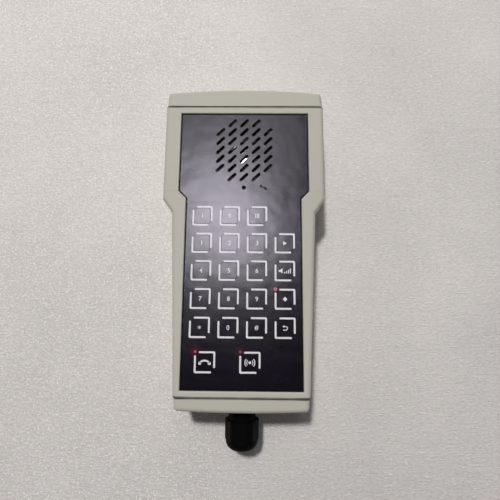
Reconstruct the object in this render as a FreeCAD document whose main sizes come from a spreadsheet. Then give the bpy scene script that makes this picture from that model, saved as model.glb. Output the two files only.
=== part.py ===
import FreeCAD, Part
import math
import os
import Sketcher
from FreeCAD import Rotation, Vector

# Handheld marine telephone with a membrane style keypad.
# Frame: origin at the middle of the flat back face, +X to the right of a person who looks at the
# keypad, +Y towards the speaker end, +Z out of the keypad. All lengths are in millimetres.
#
# The casing is two moulded halves with a cap at each end. A stiff plate with a printed foil closes
# the front; keys, lights, microphone, speaker and circuit board hang on that plate.

DRIVING_SIZES = [
    # casing outline, seen from the front
    ("casing_length", 227.0, "end of one cap to end of the other, without the gland"),
    ("casing_depth", 42.0, "back face to front border"),
    ("split_level", 20.0, "height of the joint between the casing halves above the back face"),
    ("strip_height", 1.0, "seal strips in the joint between the halves"),
    ("strip_width", 1.2, "seal strips"),
    ("strip_inset", 1.0, "seal strips inside the casing's side"),
    ("head_width", 115.4, "across the speaker end"),
    ("grip_width", 101.8, "across the top of the grip, just below the flare"),
    ("grip_end_width", 91.2, "across the grip at its lower seam"),
    ("head_side", 69.25, "straight side of the head, from the upper seam to the flare"),
    ("flare_length", 9.8, "length of the flare between head and grip"),
    ("draft_angle", 1.5, "moulding draft of the outer walls, degrees"),
    ("edge_round", 2.8, "radius along the outer edges and at the caps' corners"),
    ("parting_bevel", 0.3, "bevel of both halves along the joint in the casing's sides"),
    ("wall", 3.0, "thickness of the casing walls"),
    # end caps
    ("top_cap_depth", 14.55, "crown of the head cap to its seam"),
    ("bottom_cap_depth", 10.25, "end of the grip cap to its seam"),
    ("cap_inset", 0.6, "how far the caps stand inside the casing outline"),
    ("top_crown", 2.8, "bow of the head cap's end"),
    ("bottom_crown", 1.2, "bow of the grip cap's end"),
    ("top_lean", 0.8, "how far the head cap's sides lean in on each side"),
    ("bottom_lean", 0.5, "how far the grip cap's sides lean in on each side"),
    ("seam_gap", 0.5, "thickness of the seals between casing and caps"),
    ("seam_sink", 1.0, "how far those seals lie below the outer surface"),
    ("spigot_length", 4.0, "how far a cap reaches into the casing"),
    ("spigot_wall", 2.0, "thickness of that spigot"),
    ("fit_clearance", 0.2, "gap round a piece that slips into another"),
    # panel recess
    ("recess_head_width", 91.8, "recess across the head"),
    ("recess_grip_width", 81.0, "recess along the grip"),
    ("recess_round", 0.9, "radius along the recess's rim"),
    ("crease_width", 0.35, "fine line across both borders, level with the top of the notch"),
    ("crease_depth", 0.12, "depth of that line"),
    ("top_border", 5.05, "border between upper seam and recess"),
    ("bottom_border", 4.15, "border between lower seam and recess"),
    ("notch_rise", 5.9, "how far the recess narrows above the start of the flare"),
    ("foil_sink", 0.6, "how far the foil lies below the border"),
    ("foil_thickness", 0.25, "printed overlay"),
    ("plate_thickness", 1.5, "stiff plate under the foil"),
    ("seal_thickness", 0.5, "adhesive seal under the plate"),
    ("ledge_thickness", 2.5, "casing ledge that carries the plate"),
    ("ledge_width", 3.0, "width of that ledge"),
    ("plate_gap", 0.3, "gap between plate and recess wall"),
    ("foil_gap", 0.9, "gap between foil and recess wall"),
    # keys
    ("key_pitch", 19.05, "spacing of the keys, both ways"),
    ("first_row_drop", 12.5, "lower corner of the notch to the first row of keys"),
    ("talk_row_drop", 22.4, "last full row to the two talk keys"),
    ("answer_place", -24.5, "answer key, across"),
    ("talk_place", 5.3, "talk key, across"),
    ("key_side", 11.0, "side of a square key"),
    ("key_corner", 1.5, "corner radius of a key in plan"),
    ("key_rim", 0.15, "slope round a key's top"),
    ("key_gap", 0.15, "gap round a key in its opening"),
    ("plate_margin", 0.2, "how far the plate's openings stand back from the foil's"),
    ("key_rise", 0.2, "how far a key stands above the foil"),
    ("key_thickness", 1.4, "key without its stem"),
    ("key_travel", 0.5, "stroke of a key"),
    ("stem_side", 3.2, "side of a key's square stem"),
    ("stem_entry", 0.8, "how far a released stem reaches into its switch"),
    ("stem_gap", 0.08, "gap round a stem in its switch"),
    ("switch_side", 6.2, "side of a switch"),
    ("switch_height", 3.5, "height of a switch above the board"),
    # indicator lights
    ("light_across", 6.4, "light to the left of its key's middle"),
    ("light_up", 6.7, "light above its key's middle"),
    ("light_diameter", 2.3, "light seen in the foil"),
    ("light_gap", 0.08, "gap round a light pipe"),
    ("light_flange", 1.0, "thickness and overhang of a light pipe's collar"),
    ("lamp_height", 1.9, "lamp on the board"),
    ("lamp_side", 3.0, "side of that lamp"),
    ("lamp_bevel", 0.3, "chamfer round that lamp's top"),
    # grille and small holes
    ("grille_drop", 27.7, "top of the recess to the middle of the grille"),
    ("slot_pitch_across", 8.52, "grille slots, column to column"),
    ("slot_pitch_up", 6.76, "grille slots, row to row"),
    ("slot_length", 8.0, "grille slot, end to end"),
    ("slot_width", 2.4, "grille slot"),
    ("vent_drop", 27.9, "middle of the grille to the round hole under it"),
    ("vent_diameter", 3.0, "that round hole"),
    ("voice_across", 26.2, "voice hole, across"),
    ("voice_rise", 9.5, "voice hole above the row of talk keys"),
    ("voice_diameter", 2.2, "voice hole"),
    # speaker
    ("speaker_diameter", 48.0, "across the speaker's flange"),
    ("speaker_flange", 4.5, "width of the flange"),
    ("flange_thickness", 1.0, "thickness of flange and basket wall"),
    ("gasket_width", 2.2, "speaker gasket ring"),
    ("gasket_thickness", 1.0, "speaker gasket"),
    ("basket_depth", 13.0, "below the flange"),
    ("basket_back", 25.0, "diameter of the basket's back"),
    ("magnet_diameter", 31.0, "speaker magnet"),
    ("magnet_height", 9.0, "speaker magnet"),
    ("window_top", 12.5, "basket windows, across their upper edge"),
    ("window_foot", 10.0, "basket windows, across their lower edge"),
    ("magnet_bevel", 1.0, "chamfer of the magnet"),
    ("roll_width", 3.4, "rolled surround between flange and cone"),
    ("dome_diameter", 24.0, "glossy dust cap"),
    ("dome_rise", 1.4, "height of the dust cap"),
    ("dome_bow", 0.28, "bulge of the dust cap's slope"),
    ("dome_flat", 2.4, "flat middle of the dust cap"),
    ("cone_depth", 6.5, "rim of the cone to its neck"),
    ("cone_thickness", 0.5, "cone, surround and dust cap"),
    ("coil_diameter", 14.0, "voice coil tube"),
    ("stud_diameter", 3.0, "threaded studs in the plate"),
    ("stud_circle", 55.0, "circle of the speaker's studs"),
    ("stud_end", 1.0, "how far a stud stands out of its nut"),
    ("clamp_width", 6.0, "speaker clamp"),
    ("clamp_heel", 3.7, "how far a clamp's foot reaches outward from its stud"),
    ("clamp_thickness", 1.2, "speaker clamp plate"),
    ("nut_side", 5.5, "across the flats of a clamp nut"),
    ("nut_height", 2.4, "clamp nut"),
    # circuit board
    ("board_width", 72.0, "circuit board"),
    ("board_top_edge", 27.5, "upper edge of the board above the casing's middle"),
    ("board_end_gap", 9.0, "lower edge of the board above the lower seam"),
    ("board_thickness", 1.6, "circuit board"),
    ("board_corner", 1.5, "corner radius of the circuit board"),
    ("spacer_length", 5.0, "plate to board"),
    ("spacer_flats", 5.0, "across the flats of the board spacers"),
    ("spacer_across", 16.0, "board spacers, from the middle"),
    ("small_thread", 2.5, "board screws"),
    ("small_head", 4.6, "board screw heads"),
    ("small_head_height", 1.5, "board screw heads"),
    ("small_screw_length", 5.6, "board screws under their heads"),
    ("chip_side", 14.3, "processor"),
    ("small_chip_length", 10.0, "audio chips"),
    ("small_chip_width", 7.5, "audio chips"),
    ("chip_height", 1.7, "processor and audio chips"),
    ("chip_bevel", 0.35, "chamfer of the chips"),
    ("chip_across", 22.9, "audio chips, from the middle"),
    ("capacitor_diameter", 6.3, "power capacitors"),
    ("capacitor_height", 7.7, "power capacitors"),
    ("capacitor_bevel", 0.5, "chamfer of the capacitors' ends"),
    ("capacitor_across", 24.8, "power capacitors, from the middle"),
    ("capacitor_step", 9.5, "power capacitors, one to the next"),
    ("terminal_width", 25.4, "terminal block for the cable"),
    ("terminal_length", 9.0, "terminal block for the cable"),
    ("terminal_height", 9.5, "terminal block for the cable"),
    ("wire_mouth", 3.6, "square wire mouths of the terminal block"),
    ("wire_mouth_low", 7.6, "lower edge of a wire mouth under the board"),
    ("wire_mouth_depth", 6.3, "wire mouths of the terminal block"),
    ("screw_mouth", 3.6, "round screw mouths of the terminal block"),
    ("screw_mouth_depth", 1.9, "round screw mouths"),
    ("screw_mouth_up", 4.0, "screw mouths from the block's open side"),
    ("terminal_margin", 1.5, "terminal block from the board's end"),
    ("lead_side", 1.1, "side of the flat sided speaker leads"),
    ("lead_bend", 3.0, "bend radius of the speaker leads"),
    ("lead_drop", 4.5, "speaker leads below the board"),
    ("lead_spacing", 4.0, "between the two speaker leads"),
    # microphone
    ("boot_diameter", 10.0, "rubber boot of the microphone"),
    ("capsule_diameter", 6.0, "microphone capsule"),
    ("capsule_height", 2.7, "microphone capsule"),
    # screws and bosses
    ("screw_slack", 0.1, "screw shanks under their holes' size"),
    ("boss_diameter", 8.0, "screw bosses of the casing"),
    ("screw_diameter", 3.0, "casing screws"),
    ("screw_head", 5.8, "casing screw heads"),
    ("head_height", 2.2, "casing screw heads"),
    ("head_sink", 3.6, "depth of the screw wells"),
    ("insert_diameter", 4.6, "brass inserts"),
    ("insert_length", 6.0, "brass inserts"),
    ("boss_from_side", 6.2, "boss axis inside the casing's side"),
    ("boss_from_seam", 14.0, "boss axis from the nearer seam"),
    ("cap_screw_across", 34.0, "cap screws, from the middle"),
    ("cap_screw_level", 10.0, "cap screws above the back face"),
    ("lug_length", 12.0, "casing lugs that take the cap screws"),
    ("lug_width", 9.0, "casing lugs"),
    # cable gland
    ("gland_thread", 18.6, "outside of the entry thread"),
    ("gland_neck", 8.3, "bare thread between cap and collar"),
    ("gland_reach", 11.0, "thread inside the cap"),
    ("gland_flats", 22.0, "across the flats of collar and nut"),
    ("gland_corners", 23.4, "across the rounded corners of collar and nut"),
    ("collar_length", 4.8, "gland collar"),
    ("nut_straight", 7.6, "straight part of the gland nut"),
    ("nut_dome", 6.8, "rounded part of the gland nut"),
    ("nut_mouth", 11.0, "opening in the gland nut"),
    ("nut_rim", 1.5, "flat rim round that opening"),
    ("nut_bow", 1.5, "bulge of the gland nut's dome"),
    ("gland_bore", 11.5, "bore through the gland body"),
    ("gland_tube", 15.0, "clamping tube inside the nut"),
    ("cable_bore", 9.0, "hole in the gland seal for the cable"),
    ("seal_length", 10.0, "gland seal"),
    ("seal_reach", 1.5, "gland seal beyond the clamping tube"),
    ("locknut_flats", 23.0, "across the flats of the locknut"),
    ("locknut_height", 4.5, "locknut"),
    ("washer_thickness", 1.0, "sealing washer under the locknut"),
]


class Size:
    """A length that carries both its value and the sheet formula that gives it."""

    def __init__(self, value, formula):
        self.value = float(value)
        self.formula = formula

    @staticmethod
    def of(number):
        """Return number itself if it is a Size, or a Size that holds it."""
        if isinstance(number, Size):
            return number
        return Size(number, "(%s)" % repr(float(number)))

    def _join(self, other, sign, value):
        return Size(value, "(%s %s %s)" % (self.formula, sign, other.formula))

    def __add__(self, other):
        other = Size.of(other)
        return self._join(other, "+", self.value + other.value)

    def __radd__(self, other):
        return Size.of(other) + self

    def __sub__(self, other):
        other = Size.of(other)
        return self._join(other, "-", self.value - other.value)

    def __rsub__(self, other):
        return Size.of(other) - self

    def __mul__(self, other):
        other = Size.of(other)
        return self._join(other, "*", self.value * other.value)

    def __rmul__(self, other):
        return Size.of(other) * self

    def __truediv__(self, other):
        other = Size.of(other)
        return self._join(other, "/", self.value / other.value)

    def __neg__(self):
        return Size.of(0.0) - self

    def root(self):
        """Return the square root."""
        return Size(math.sqrt(self.value), "sqrt(%s)" % self.formula)


class Sheet:
    """The document's table of driving sizes, read as attributes."""

    def __init__(self, doc, rows):
        self.table = doc.addObject("Spreadsheet::Sheet", "sizes")
        self.values = {}
        for number, (word, value, note) in enumerate(rows, start=1):
            self.table.set("A%d" % number, word)
            self.table.set("B%d" % number, repr(value))
            self.table.setAlias("B%d" % number, word)
            self.table.set("C%d" % number, note)
            self.values[word] = value
        doc.recompute()

    def __getattr__(self, word):
        return Size(self.values[word], "sizes.%s" % word)


class Corner:
    """A corner of an outline. bow is how far the side that leaves it bulges to its right."""

    def __init__(self, across, up, bow=None):
        self.across = Size.of(across)
        self.up = Size.of(up)
        self.bow = bow

    def vector(self):
        return Vector(self.across.value, self.up.value, 0)


DIAGONAL = math.sqrt(0.5)
QUARTER_BOW = 1 - DIAGONAL
TAN_EIGHTH = math.tan(math.radians(22.5))
ORIGIN_POINT = (-1, 1)
WHOLE_TURN = 360.0
NEAR = 0.1
SAME_LEVEL = 1e-4
LEAST_CUT = 1e-6
UPRIGHT_RATIO = 4
SOCKET_SHARE = 0.5
TERMINAL_POLES = 5
SEEN_ALONG = {"XY": "XY_Plane", "XZ": "XZ_Plane", "YZ": "YZ_Plane"}

doc = FreeCAD.newDocument("marine_telephone")
s = Sheet(doc, DRIVING_SIZES)


def set_size(thing, name, size):
    """Bind one property of an object to the sheet."""
    thing.setExpression(name, Size.of(size).formula)


def place(sketch, index, point, across, up):
    """Tie a point of a sketch's geometry to its two coordinates."""
    for kind, size in (("DistanceX", across), ("DistanceY", up)):
        size = Size.of(size)
        number = sketch.addConstraint(
            Sketcher.Constraint(kind, ORIGIN_POINT[0], ORIGIN_POINT[1], index, point, size.value)
        )
        sketch.setExpression("Constraints[%d]" % number, size.formula)


def set_radius(sketch, index, radius):
    """Tie the radius of a circle or an arc."""
    number = sketch.addConstraint(Sketcher.Constraint("Radius", index, radius.value))
    sketch.setExpression("Constraints[%d]" % number, radius.formula)


def draw_outline(sketch, corners):
    """Draw a closed outline through the corners, with straight or bowed sides."""
    first = sketch.GeometryCount
    count = len(corners)
    ends = []
    for number, corner in enumerate(corners):
        start = corner.vector()
        end = corners[(number + 1) % count].vector()
        forward = corner.bow is None or corner.bow.value > 0
        ends.append((1, 2) if forward else (2, 1))
        if corner.bow is None:
            sketch.addGeometry(Part.LineSegment(start, end), False)
        else:
            along = (end - start).normalize()
            right = Vector(along.y, -along.x, 0)
            middle = (start + end) * 0.5 + right * corner.bow.value
            tips = (start, end) if forward else (end, start)
            sketch.addGeometry(Part.Arc(tips[0], middle, tips[1]), False)
    for number, corner in enumerate(corners):
        following = (number + 1) % count
        sketch.addConstraint(
            Sketcher.Constraint(
                "Coincident", first + number, ends[number][1], first + following, ends[following][0]
            )
        )
        place(sketch, first + number, ends[number][0], corner.across, corner.up)
    for number, corner in enumerate(corners):
        if corner.bow is not None:
            other = corners[(number + 1) % count]
            width = other.across - corner.across
            height = other.up - corner.up
            half = (width * width + height * height) / 4
            size = Size(abs(corner.bow.value), "abs(%s)" % corner.bow.formula)
            set_radius(sketch, first + number, (half + size * size) / (size * 2))


def draw_circle(sketch, across, up, diameter):
    """Draw a circle."""
    across, up = Size.of(across), Size.of(up)
    centre = Vector(across.value, up.value, 0)
    index = sketch.addGeometry(Part.Circle(centre, Vector(0, 0, 1), diameter.value / 2), False)
    place(sketch, index, 3, across, up)
    set_radius(sketch, index, diameter / 2)


def draw_rounded(sketch, centres, radius):
    """Draw an outline of arcs of one radius about the centres, joined by straight sides.

    The centres run anticlockwise. Two centres give a slot, four a rounded square.
    """
    first = sketch.GeometryCount
    count = len(centres)
    points = [Vector(Size.of(x).value, Size.of(y).value, 0) for x, y in centres]
    outward = []
    for number in range(count):
        along = (points[(number + 1) % count] - points[number]).normalize()
        outward.append(Vector(along.y, -along.x, 0))
    for number in range(count):
        before = outward[number - 1]
        after = outward[number]
        circle = Part.Circle(points[number], Vector(0, 0, 1), radius.value)
        start = math.atan2(before.y, before.x)
        end = math.atan2(after.y, after.x)
        if end <= start:
            end += 2 * math.pi
        sketch.addGeometry(Part.ArcOfCircle(circle, start, end), False)
        side = Part.LineSegment(
            points[number] + after * radius.value,
            points[(number + 1) % count] + after * radius.value,
        )
        sketch.addGeometry(side, False)
    for number in range(count):
        arc = first + 2 * number
        line = arc + 1
        following = first + 2 * ((number + 1) % count)
        sketch.addConstraint(Sketcher.Constraint("Tangent", arc, 2, line, 1))
        sketch.addConstraint(Sketcher.Constraint("Tangent", line, 2, following, 1))
        place(sketch, arc, 3, centres[number][0], centres[number][1])
        set_radius(sketch, arc, radius)


def rounded_square(sketch, across, up, side, radius):
    """Draw a square with rounded corners about a middle."""
    reach = side / 2 - radius
    signs = ((-1, -1), (1, -1), (1, 1), (-1, 1))
    draw_rounded(sketch, [(across + reach * i, up + reach * j) for i, j in signs], radius)


def hexagon(sketch, flats):
    """Draw a hexagon with two corners on the sketch's horizontal axis."""
    radius = flats / math.sqrt(3.0)
    corners = []
    for step in range(6):
        angle = math.radians(60 * step)
        corners.append(Corner(radius * math.cos(angle), radius * math.sin(angle)))
    draw_outline(sketch, corners)


def rectangle(low_across, low_up, high_across, high_up):
    """Return the corners of a rectangle."""
    return [
        Corner(low_across, low_up),
        Corner(high_across, low_up),
        Corner(high_across, high_up),
        Corner(low_across, high_up),
    ]


class Piece:
    """One sub-part: a body of sketches and features whose label is the node's name."""

    def __init__(self, name):
        self.name = name
        self.body = doc.addObject("PartDesign::Body", name)
        self.body.Label = name
        self.count = 0

    def _feature(self, kind, word):
        self.count += 1
        return self.body.newObject(kind, "%s_%d_%s" % (self.name, self.count, word))

    def sketch(self, plane, level, word):
        """Add a sketch on an origin plane moved to a level along its world axis."""
        sketch = self._feature("Sketcher::SketchObject", word)
        role = SEEN_ALONG[plane]
        base = [axis for axis in self.body.Origin.OriginFeatures if axis.Role == role][0]
        sketch.AttachmentSupport = [(base, "")]
        sketch.MapMode = "FlatFace"
        level = Size.of(level)
        set_size(sketch, "AttachmentOffset.Base.z", -level if plane == "XZ" else level)
        sketch.Visibility = False
        return sketch

    def _grow(self, feature, sketch, length, towards, cuts):
        feature.Profile = sketch
        set_size(feature, "Length", length)
        normal = sketch.Placement.Rotation.multVec(Vector(0, 0, 1))
        along_normal = (normal.x + normal.y + normal.z) * towards > 0
        feature.Reversed = along_normal if cuts else not along_normal

    def pad(self, sketch, length, towards=1, taper=None):
        """Grow the sketch towards the plus (1) or minus (-1) side of its world axis."""
        doc.recompute()
        feature = self._feature("PartDesign::Pad", "pad")
        self._grow(feature, sketch, length, towards, False)
        if taper is not None:
            set_size(feature, "TaperAngle", -taper)
        doc.recompute()
        return feature

    def pocket(self, sketch, length, towards):
        """Cut the sketch away towards the plus (1) or minus (-1) side of its world axis."""
        doc.recompute()
        before = self.body.Shape.Volume
        feature = self._feature("PartDesign::Pocket", "pocket")
        feature.Refine = False
        self._grow(feature, sketch, length, towards, True)
        doc.recompute()
        if self.body.Shape.Volume > before - LEAST_CUT:
            raise RuntimeError("%s: %s cuts nothing" % (self.name, feature.Name))
        return feature

    def turn(self, sketch, axis="V_Axis", cuts=False):
        """Turn the sketch once round one of its own axes, adding or cutting."""
        doc.recompute()
        before = self.body.Shape.Volume if cuts else 0.0
        kind = "PartDesign::Groove" if cuts else "PartDesign::Revolution"
        feature = self._feature(kind, "turn")
        feature.Profile = sketch
        feature.ReferenceAxis = (sketch, [axis])
        feature.Angle = WHOLE_TURN
        doc.recompute()
        if cuts and self.body.Shape.Volume > before - LEAST_CUT:
            raise RuntimeError("%s: %s cuts nothing" % (self.name, feature.Name))
        return feature

    def edges(self, test):
        """Name the edges of the shape so far that pass a test."""
        shape = self.body.Tip.Shape
        return ["Edge%d" % n for n, edge in enumerate(shape.Edges, start=1) if test(edge)]

    def blend(self, kind, test, size):
        """Round or chamfer the edges that pass a test."""
        names = self.edges(test)
        if not names:
            raise RuntimeError("%s: no edge to %s" % (self.name, kind))
        base = self.body.Tip
        feature = self._feature("PartDesign::" + kind, kind.lower())
        feature.Base = (base, names)
        set_size(feature, "Radius" if kind == "Fillet" else "Size", size)
        doc.recompute()
        return feature

    def repeat(self, feature, sketch, axis, step, count):
        """Repeat a feature in a row along one axis of a sketch."""
        row = self._feature("PartDesign::LinearPattern", "row")
        row.Originals = [feature]
        row.Direction = (sketch, [axis])
        set_size(row, "Length", step * (count - 1))
        row.Occurrences = count
        row.Refine = False
        self.body.Tip = row
        doc.recompute()
        return row

    def around(self, feature, sketch, count):
        """Repeat a feature round the sketch's normal."""
        ring = self._feature("PartDesign::PolarPattern", "ring")
        ring.Originals = [feature]
        ring.Axis = (sketch, ["N_Axis"])
        ring.Angle = WHOLE_TURN
        ring.Occurrences = count
        self.body.Tip = ring
        doc.recompute()
        return ring

    def move(self, across, up, level):
        """Put the body's own origin at a place."""
        for axis, size in zip("xyz", (across, up, level)):
            set_size(self.body, "Placement.Base.%s" % axis, size)


def group(name, form, places):
    """Make one node of several copies of a form, each at (across, up, level, turn about Z)."""
    copies = []
    for number, (across, up, level, turn) in enumerate(places, start=1):
        copy = doc.addObject("App::Link", "%s_copy_%d" % (name, number))
        copy.LinkedObject = form.body
        copy.Placement = FreeCAD.Placement(Vector(), Rotation(Vector(0, 0, 1), turn))
        for axis, size in zip("xyz", (across, up, level)):
            set_size(copy, "Placement.Base.%s" % axis, size)
        copies.append(copy)
    whole = doc.addObject("Part::Compound", name)
    whole.Label = name
    whole.Links = copies
    return whole


# Levels above the back face
border_level = s.casing_depth
foil_top = border_level - s.foil_sink
plate_top = foil_top - s.foil_thickness
plate_under = plate_top - s.plate_thickness
ledge_top = plate_under - s.seal_thickness
ledge_under = ledge_top - s.ledge_thickness
board_top = plate_under - s.spacer_length
board_under = board_top - s.board_thickness

# Stations along the casing
end_station = s.casing_length / 2
top_seam = end_station - s.top_cap_depth
bottom_seam = s.bottom_cap_depth - end_station
flare_high = top_seam - s.head_side
flare_low = flare_high - s.flare_length
recess_top = top_seam - s.top_border
recess_bottom = bottom_seam + s.bottom_border
notch_high = flare_high + s.notch_rise
notch_low = notch_high - (s.recess_head_width - s.recess_grip_width) / 2
grille_middle = recess_top - s.grille_drop
vent_station = grille_middle - s.vent_drop

# Key places
first_row = notch_low - s.first_row_drop
last_row = first_row - s.key_pitch * 4
talk_row = last_row - s.talk_row_drop
columns = [s.key_pitch * step for step in (-1.5, -0.5, 0.5, 1.5)]
key_places = {}
for number, column in enumerate(columns[:3], start=1):
    key_places["key_memory_%d" % number] = (column, first_row)
grid = [
    ["1", "2", "3", "page"],
    ["4", "5", "6", "volume"],
    ["7", "8", "9", "function"],
    ["star", "0", "hash", "recall"],
]
for line, words in enumerate(grid, start=1):
    for column, word in zip(columns, words):
        key_places["key_" + word] = (column, first_row - s.key_pitch * line)
key_places["key_answer"] = (s.answer_place, talk_row)
key_places["key_talk"] = (s.talk_place, talk_row)
lit_keys = ["key_function", "key_answer", "key_talk"]
light_places = [
    (key_places[word][0] - s.light_across, key_places[word][1] + s.light_up) for word in lit_keys
]
voice_station = talk_row + s.voice_rise

# Screw places
head_half = s.head_width / 2
grip_half = s.grip_width / 2
grip_end_half = s.grip_end_width / 2
grip_slope = (grip_half - grip_end_half) / (flare_low - bottom_seam)
upper_boss = (head_half - s.boss_from_side, top_seam - s.boss_from_seam)
lower_boss = (
    grip_end_half + grip_slope * s.boss_from_seam - s.boss_from_side,
    bottom_seam + s.boss_from_seam,
)
boss_places = [
    (upper_boss[0], upper_boss[1]),
    (-upper_boss[0], upper_boss[1]),
    (lower_boss[0], lower_boss[1]),
    (-lower_boss[0], lower_boss[1]),
]


def spaced_row(count):
    """Return the station that lies a number of key pitches below the first row."""
    return first_row - s.key_pitch * count


spacer_rows = [spaced_row(0.5), spaced_row(2.5), (last_row + talk_row) / 2]
spacer_places = [(side * s.spacer_across, row) for row in spacer_rows for side in (-1, 1)]


def casing_outline(inset, overrun):
    """Corners of the casing in plan, moved in from its side and run past its seams."""
    drop = (head_half - grip_half) * (head_half - grip_half) + s.flare_length * s.flare_length
    turn = (drop.root() - s.flare_length) / (head_half - grip_half)
    shift = Size.of(inset) * turn
    side = [
        (grip_end_half - grip_slope * overrun - inset, bottom_seam - overrun),
        (grip_half - inset, flare_low + shift),
        (head_half - inset, flare_high + shift),
        (head_half - inset, top_seam + overrun),
    ]
    right = [Corner(x, y) for x, y in side]
    left = [Corner(-x, y) for x, y in reversed(side)]
    return right + left


def recess_outline(inset):
    """Corners of the panel recess in plan, moved in by an inset."""
    inset = Size.of(inset)
    shift = inset * TAN_EIGHTH
    side = [
        (s.recess_grip_width / 2 - inset, recess_bottom + inset),
        (s.recess_grip_width / 2 - inset, notch_low + shift),
        (s.recess_head_width / 2 - inset, notch_high + shift),
        (s.recess_head_width / 2 - inset, recess_top - inset),
    ]
    right = [Corner(x, y) for x, y in side]
    left = [Corner(-x, y) for x, y in reversed(side)]
    return right + left


def at_level(edge, level):
    """Tell whether a whole edge lies at one height."""
    return all(abs(vertex.Z - level) < SAME_LEVEL for vertex in edge.Vertexes)


def runs_lengthwise(edge):
    """Tell whether an edge spans more along the casing than across it."""
    box = edge.BoundBox
    return box.YLength > box.XLength


# Casing halves
OVERRUN = s.wall * 2


def casing_half(name, height, towards, rim_level):
    """Make a drafted half of the casing, rounded along its sides and open at both ends."""
    half = Piece(name)
    sketch = half.sketch("XY", s.split_level, "outline")
    draw_outline(sketch, casing_outline(Size.of(0), OVERRUN))
    half.pad(sketch, height, towards, s.draft_angle)
    rim = rim_level.value
    half.blend("Fillet", lambda e: at_level(e, rim) and runs_lengthwise(e), s.edge_round)
    joint = s.split_level.value
    half.blend("Chamfer", lambda e: at_level(e, joint) and runs_lengthwise(e), s.parting_bevel)
    sketch = half.sketch("XY", s.split_level, "ends")
    wide = s.head_width
    draw_outline(sketch, rectangle(-wide, top_seam, wide, top_seam + OVERRUN * 2))
    draw_outline(sketch, rectangle(-wide, bottom_seam - OVERRUN * 2, wide, bottom_seam))
    half.pocket(sketch, height * 2, towards)
    return half


def on_recess_rim(edge):
    """True for the edges where the recess meets the front border."""
    middle = edge.BoundBox.Center
    width = s.recess_head_width if middle.y > notch_low.value else s.recess_grip_width
    across = abs(middle.x) < width.value / 2 + NEAR
    along = recess_bottom.value - NEAR < middle.y < recess_top.value + NEAR
    return at_level(edge, border_level.value) and across and along


def front_shell():
    """The front half: recess with its ledge, open window, and bosses for the inserts."""
    height = border_level - s.split_level
    shell = casing_half("front_shell", height, 1, border_level)
    sketch = shell.sketch("XY", border_level, "recess")
    draw_outline(sketch, recess_outline(0))
    shell.pocket(sketch, border_level - ledge_top, -1)
    shell.blend("Fillet", on_recess_rim, s.recess_round)
    sketch = shell.sketch("XY", border_level, "crease")
    half = s.crease_width / 2
    draw_outline(
        sketch, rectangle(-head_half, notch_high - half, head_half, notch_high + half)
    )
    shell.pocket(sketch, s.crease_depth, -1)
    sketch = shell.sketch("XY", s.split_level, "hollow")
    draw_outline(sketch, casing_outline(s.wall, OVERRUN))
    shell.pocket(sketch, ledge_under - s.split_level, 1)
    sketch = shell.sketch("XY", ledge_under, "window")
    draw_outline(sketch, recess_outline(s.ledge_width))
    shell.pocket(sketch, s.ledge_thickness * 2, 1)
    sketch = shell.sketch("XY", s.split_level, "bosses")
    for across, up in boss_places:
        draw_circle(sketch, across, up, s.boss_diameter)
    shell.pad(sketch, ledge_under - s.split_level + s.ledge_thickness / 2)
    sketch = shell.sketch("XY", s.split_level, "insert_holes")
    for across, up in boss_places:
        draw_circle(sketch, across, up, s.insert_diameter)
    shell.pocket(sketch, s.insert_length, 1)
    sketch = shell.sketch("XY", s.split_level, "screw_ends")
    for across, up in boss_places:
        draw_circle(sketch, across, up, s.screw_diameter + s.fit_clearance * 2)
    shell.pocket(sketch, s.insert_length + s.wall, 1)
    return shell


def rear_shell():
    """The back half: screw bosses with wells, cap screw lugs and the grooves for the seal."""
    shell = casing_half("rear_shell", s.split_level, -1, Size.of(0))
    sketch = shell.sketch("XY", s.split_level, "hollow")
    draw_outline(sketch, casing_outline(s.wall, OVERRUN))
    shell.pocket(sketch, s.split_level - s.wall, -1)
    sketch = shell.sketch("XY", s.wall / 2, "bosses")
    for across, up in boss_places:
        draw_circle(sketch, across, up, s.boss_diameter)
    shell.pad(sketch, s.split_level - s.wall / 2)
    sketch = shell.sketch("XY", s.wall / 2, "lugs")
    low = s.cap_screw_across - s.lug_width / 2
    high = s.cap_screw_across + s.lug_width / 2
    for start, step in ((lug_face_top, -1), (lug_face_bottom, 1)):
        for side in (-1, 1):
            end = start + s.lug_length * step
            draw_outline(sketch, rectangle(low * side, start, high * side, end))
    shell.pad(sketch, s.cap_screw_level + s.lug_width / 2 - s.wall / 2)
    for start, step, word in ((lug_face_top, -1, "top"), (lug_face_bottom, 1, "bottom")):
        sketch = shell.sketch("XZ", start, "lug_holes_" + word)
        for side in (-1, 1):
            draw_circle(sketch, s.cap_screw_across * side, s.cap_screw_level, s.screw_diameter)
        shell.pocket(sketch, s.lug_length - s.wall / 2, step)
    sketch = shell.sketch("XY", 0, "screw_holes")
    for across, up in boss_places:
        draw_circle(sketch, across, up, s.screw_diameter + s.fit_clearance * 2)
    shell.pocket(sketch, s.split_level * 2, 1)
    sketch = shell.sketch("XY", 0, "screw_wells")
    for across, up in boss_places:
        draw_circle(sketch, across, up, s.screw_head + s.fit_clearance * 3)
    shell.pocket(sketch, s.head_sink, 1)
    sketch = shell.sketch("XY", s.split_level, "seal_grooves")
    draw_side_strips(sketch)
    shell.pocket(sketch, s.strip_height, -1)
    return shell


# Seal between the casing halves: one strip in each side wall
def draw_side_strips(sketch):
    """Draw the two strips that follow the casing's sides inside the wall."""
    outer = casing_outline(s.strip_inset, 0)[:4]
    inner = casing_outline(s.strip_inset + s.strip_width, 0)[:4]
    strip = outer + list(reversed(inner))
    draw_outline(sketch, strip)
    draw_outline(sketch, [Corner(-corner.across, corner.up) for corner in reversed(strip)])


def casing_seal():
    """Rubber strips that fill the grooves between the casing halves."""
    seal = Piece("casing_seal")
    sketch = seal.sketch("XY", s.split_level, "strips")
    draw_side_strips(sketch)
    seal.pad(sketch, s.strip_height, -1)
    return seal


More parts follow.
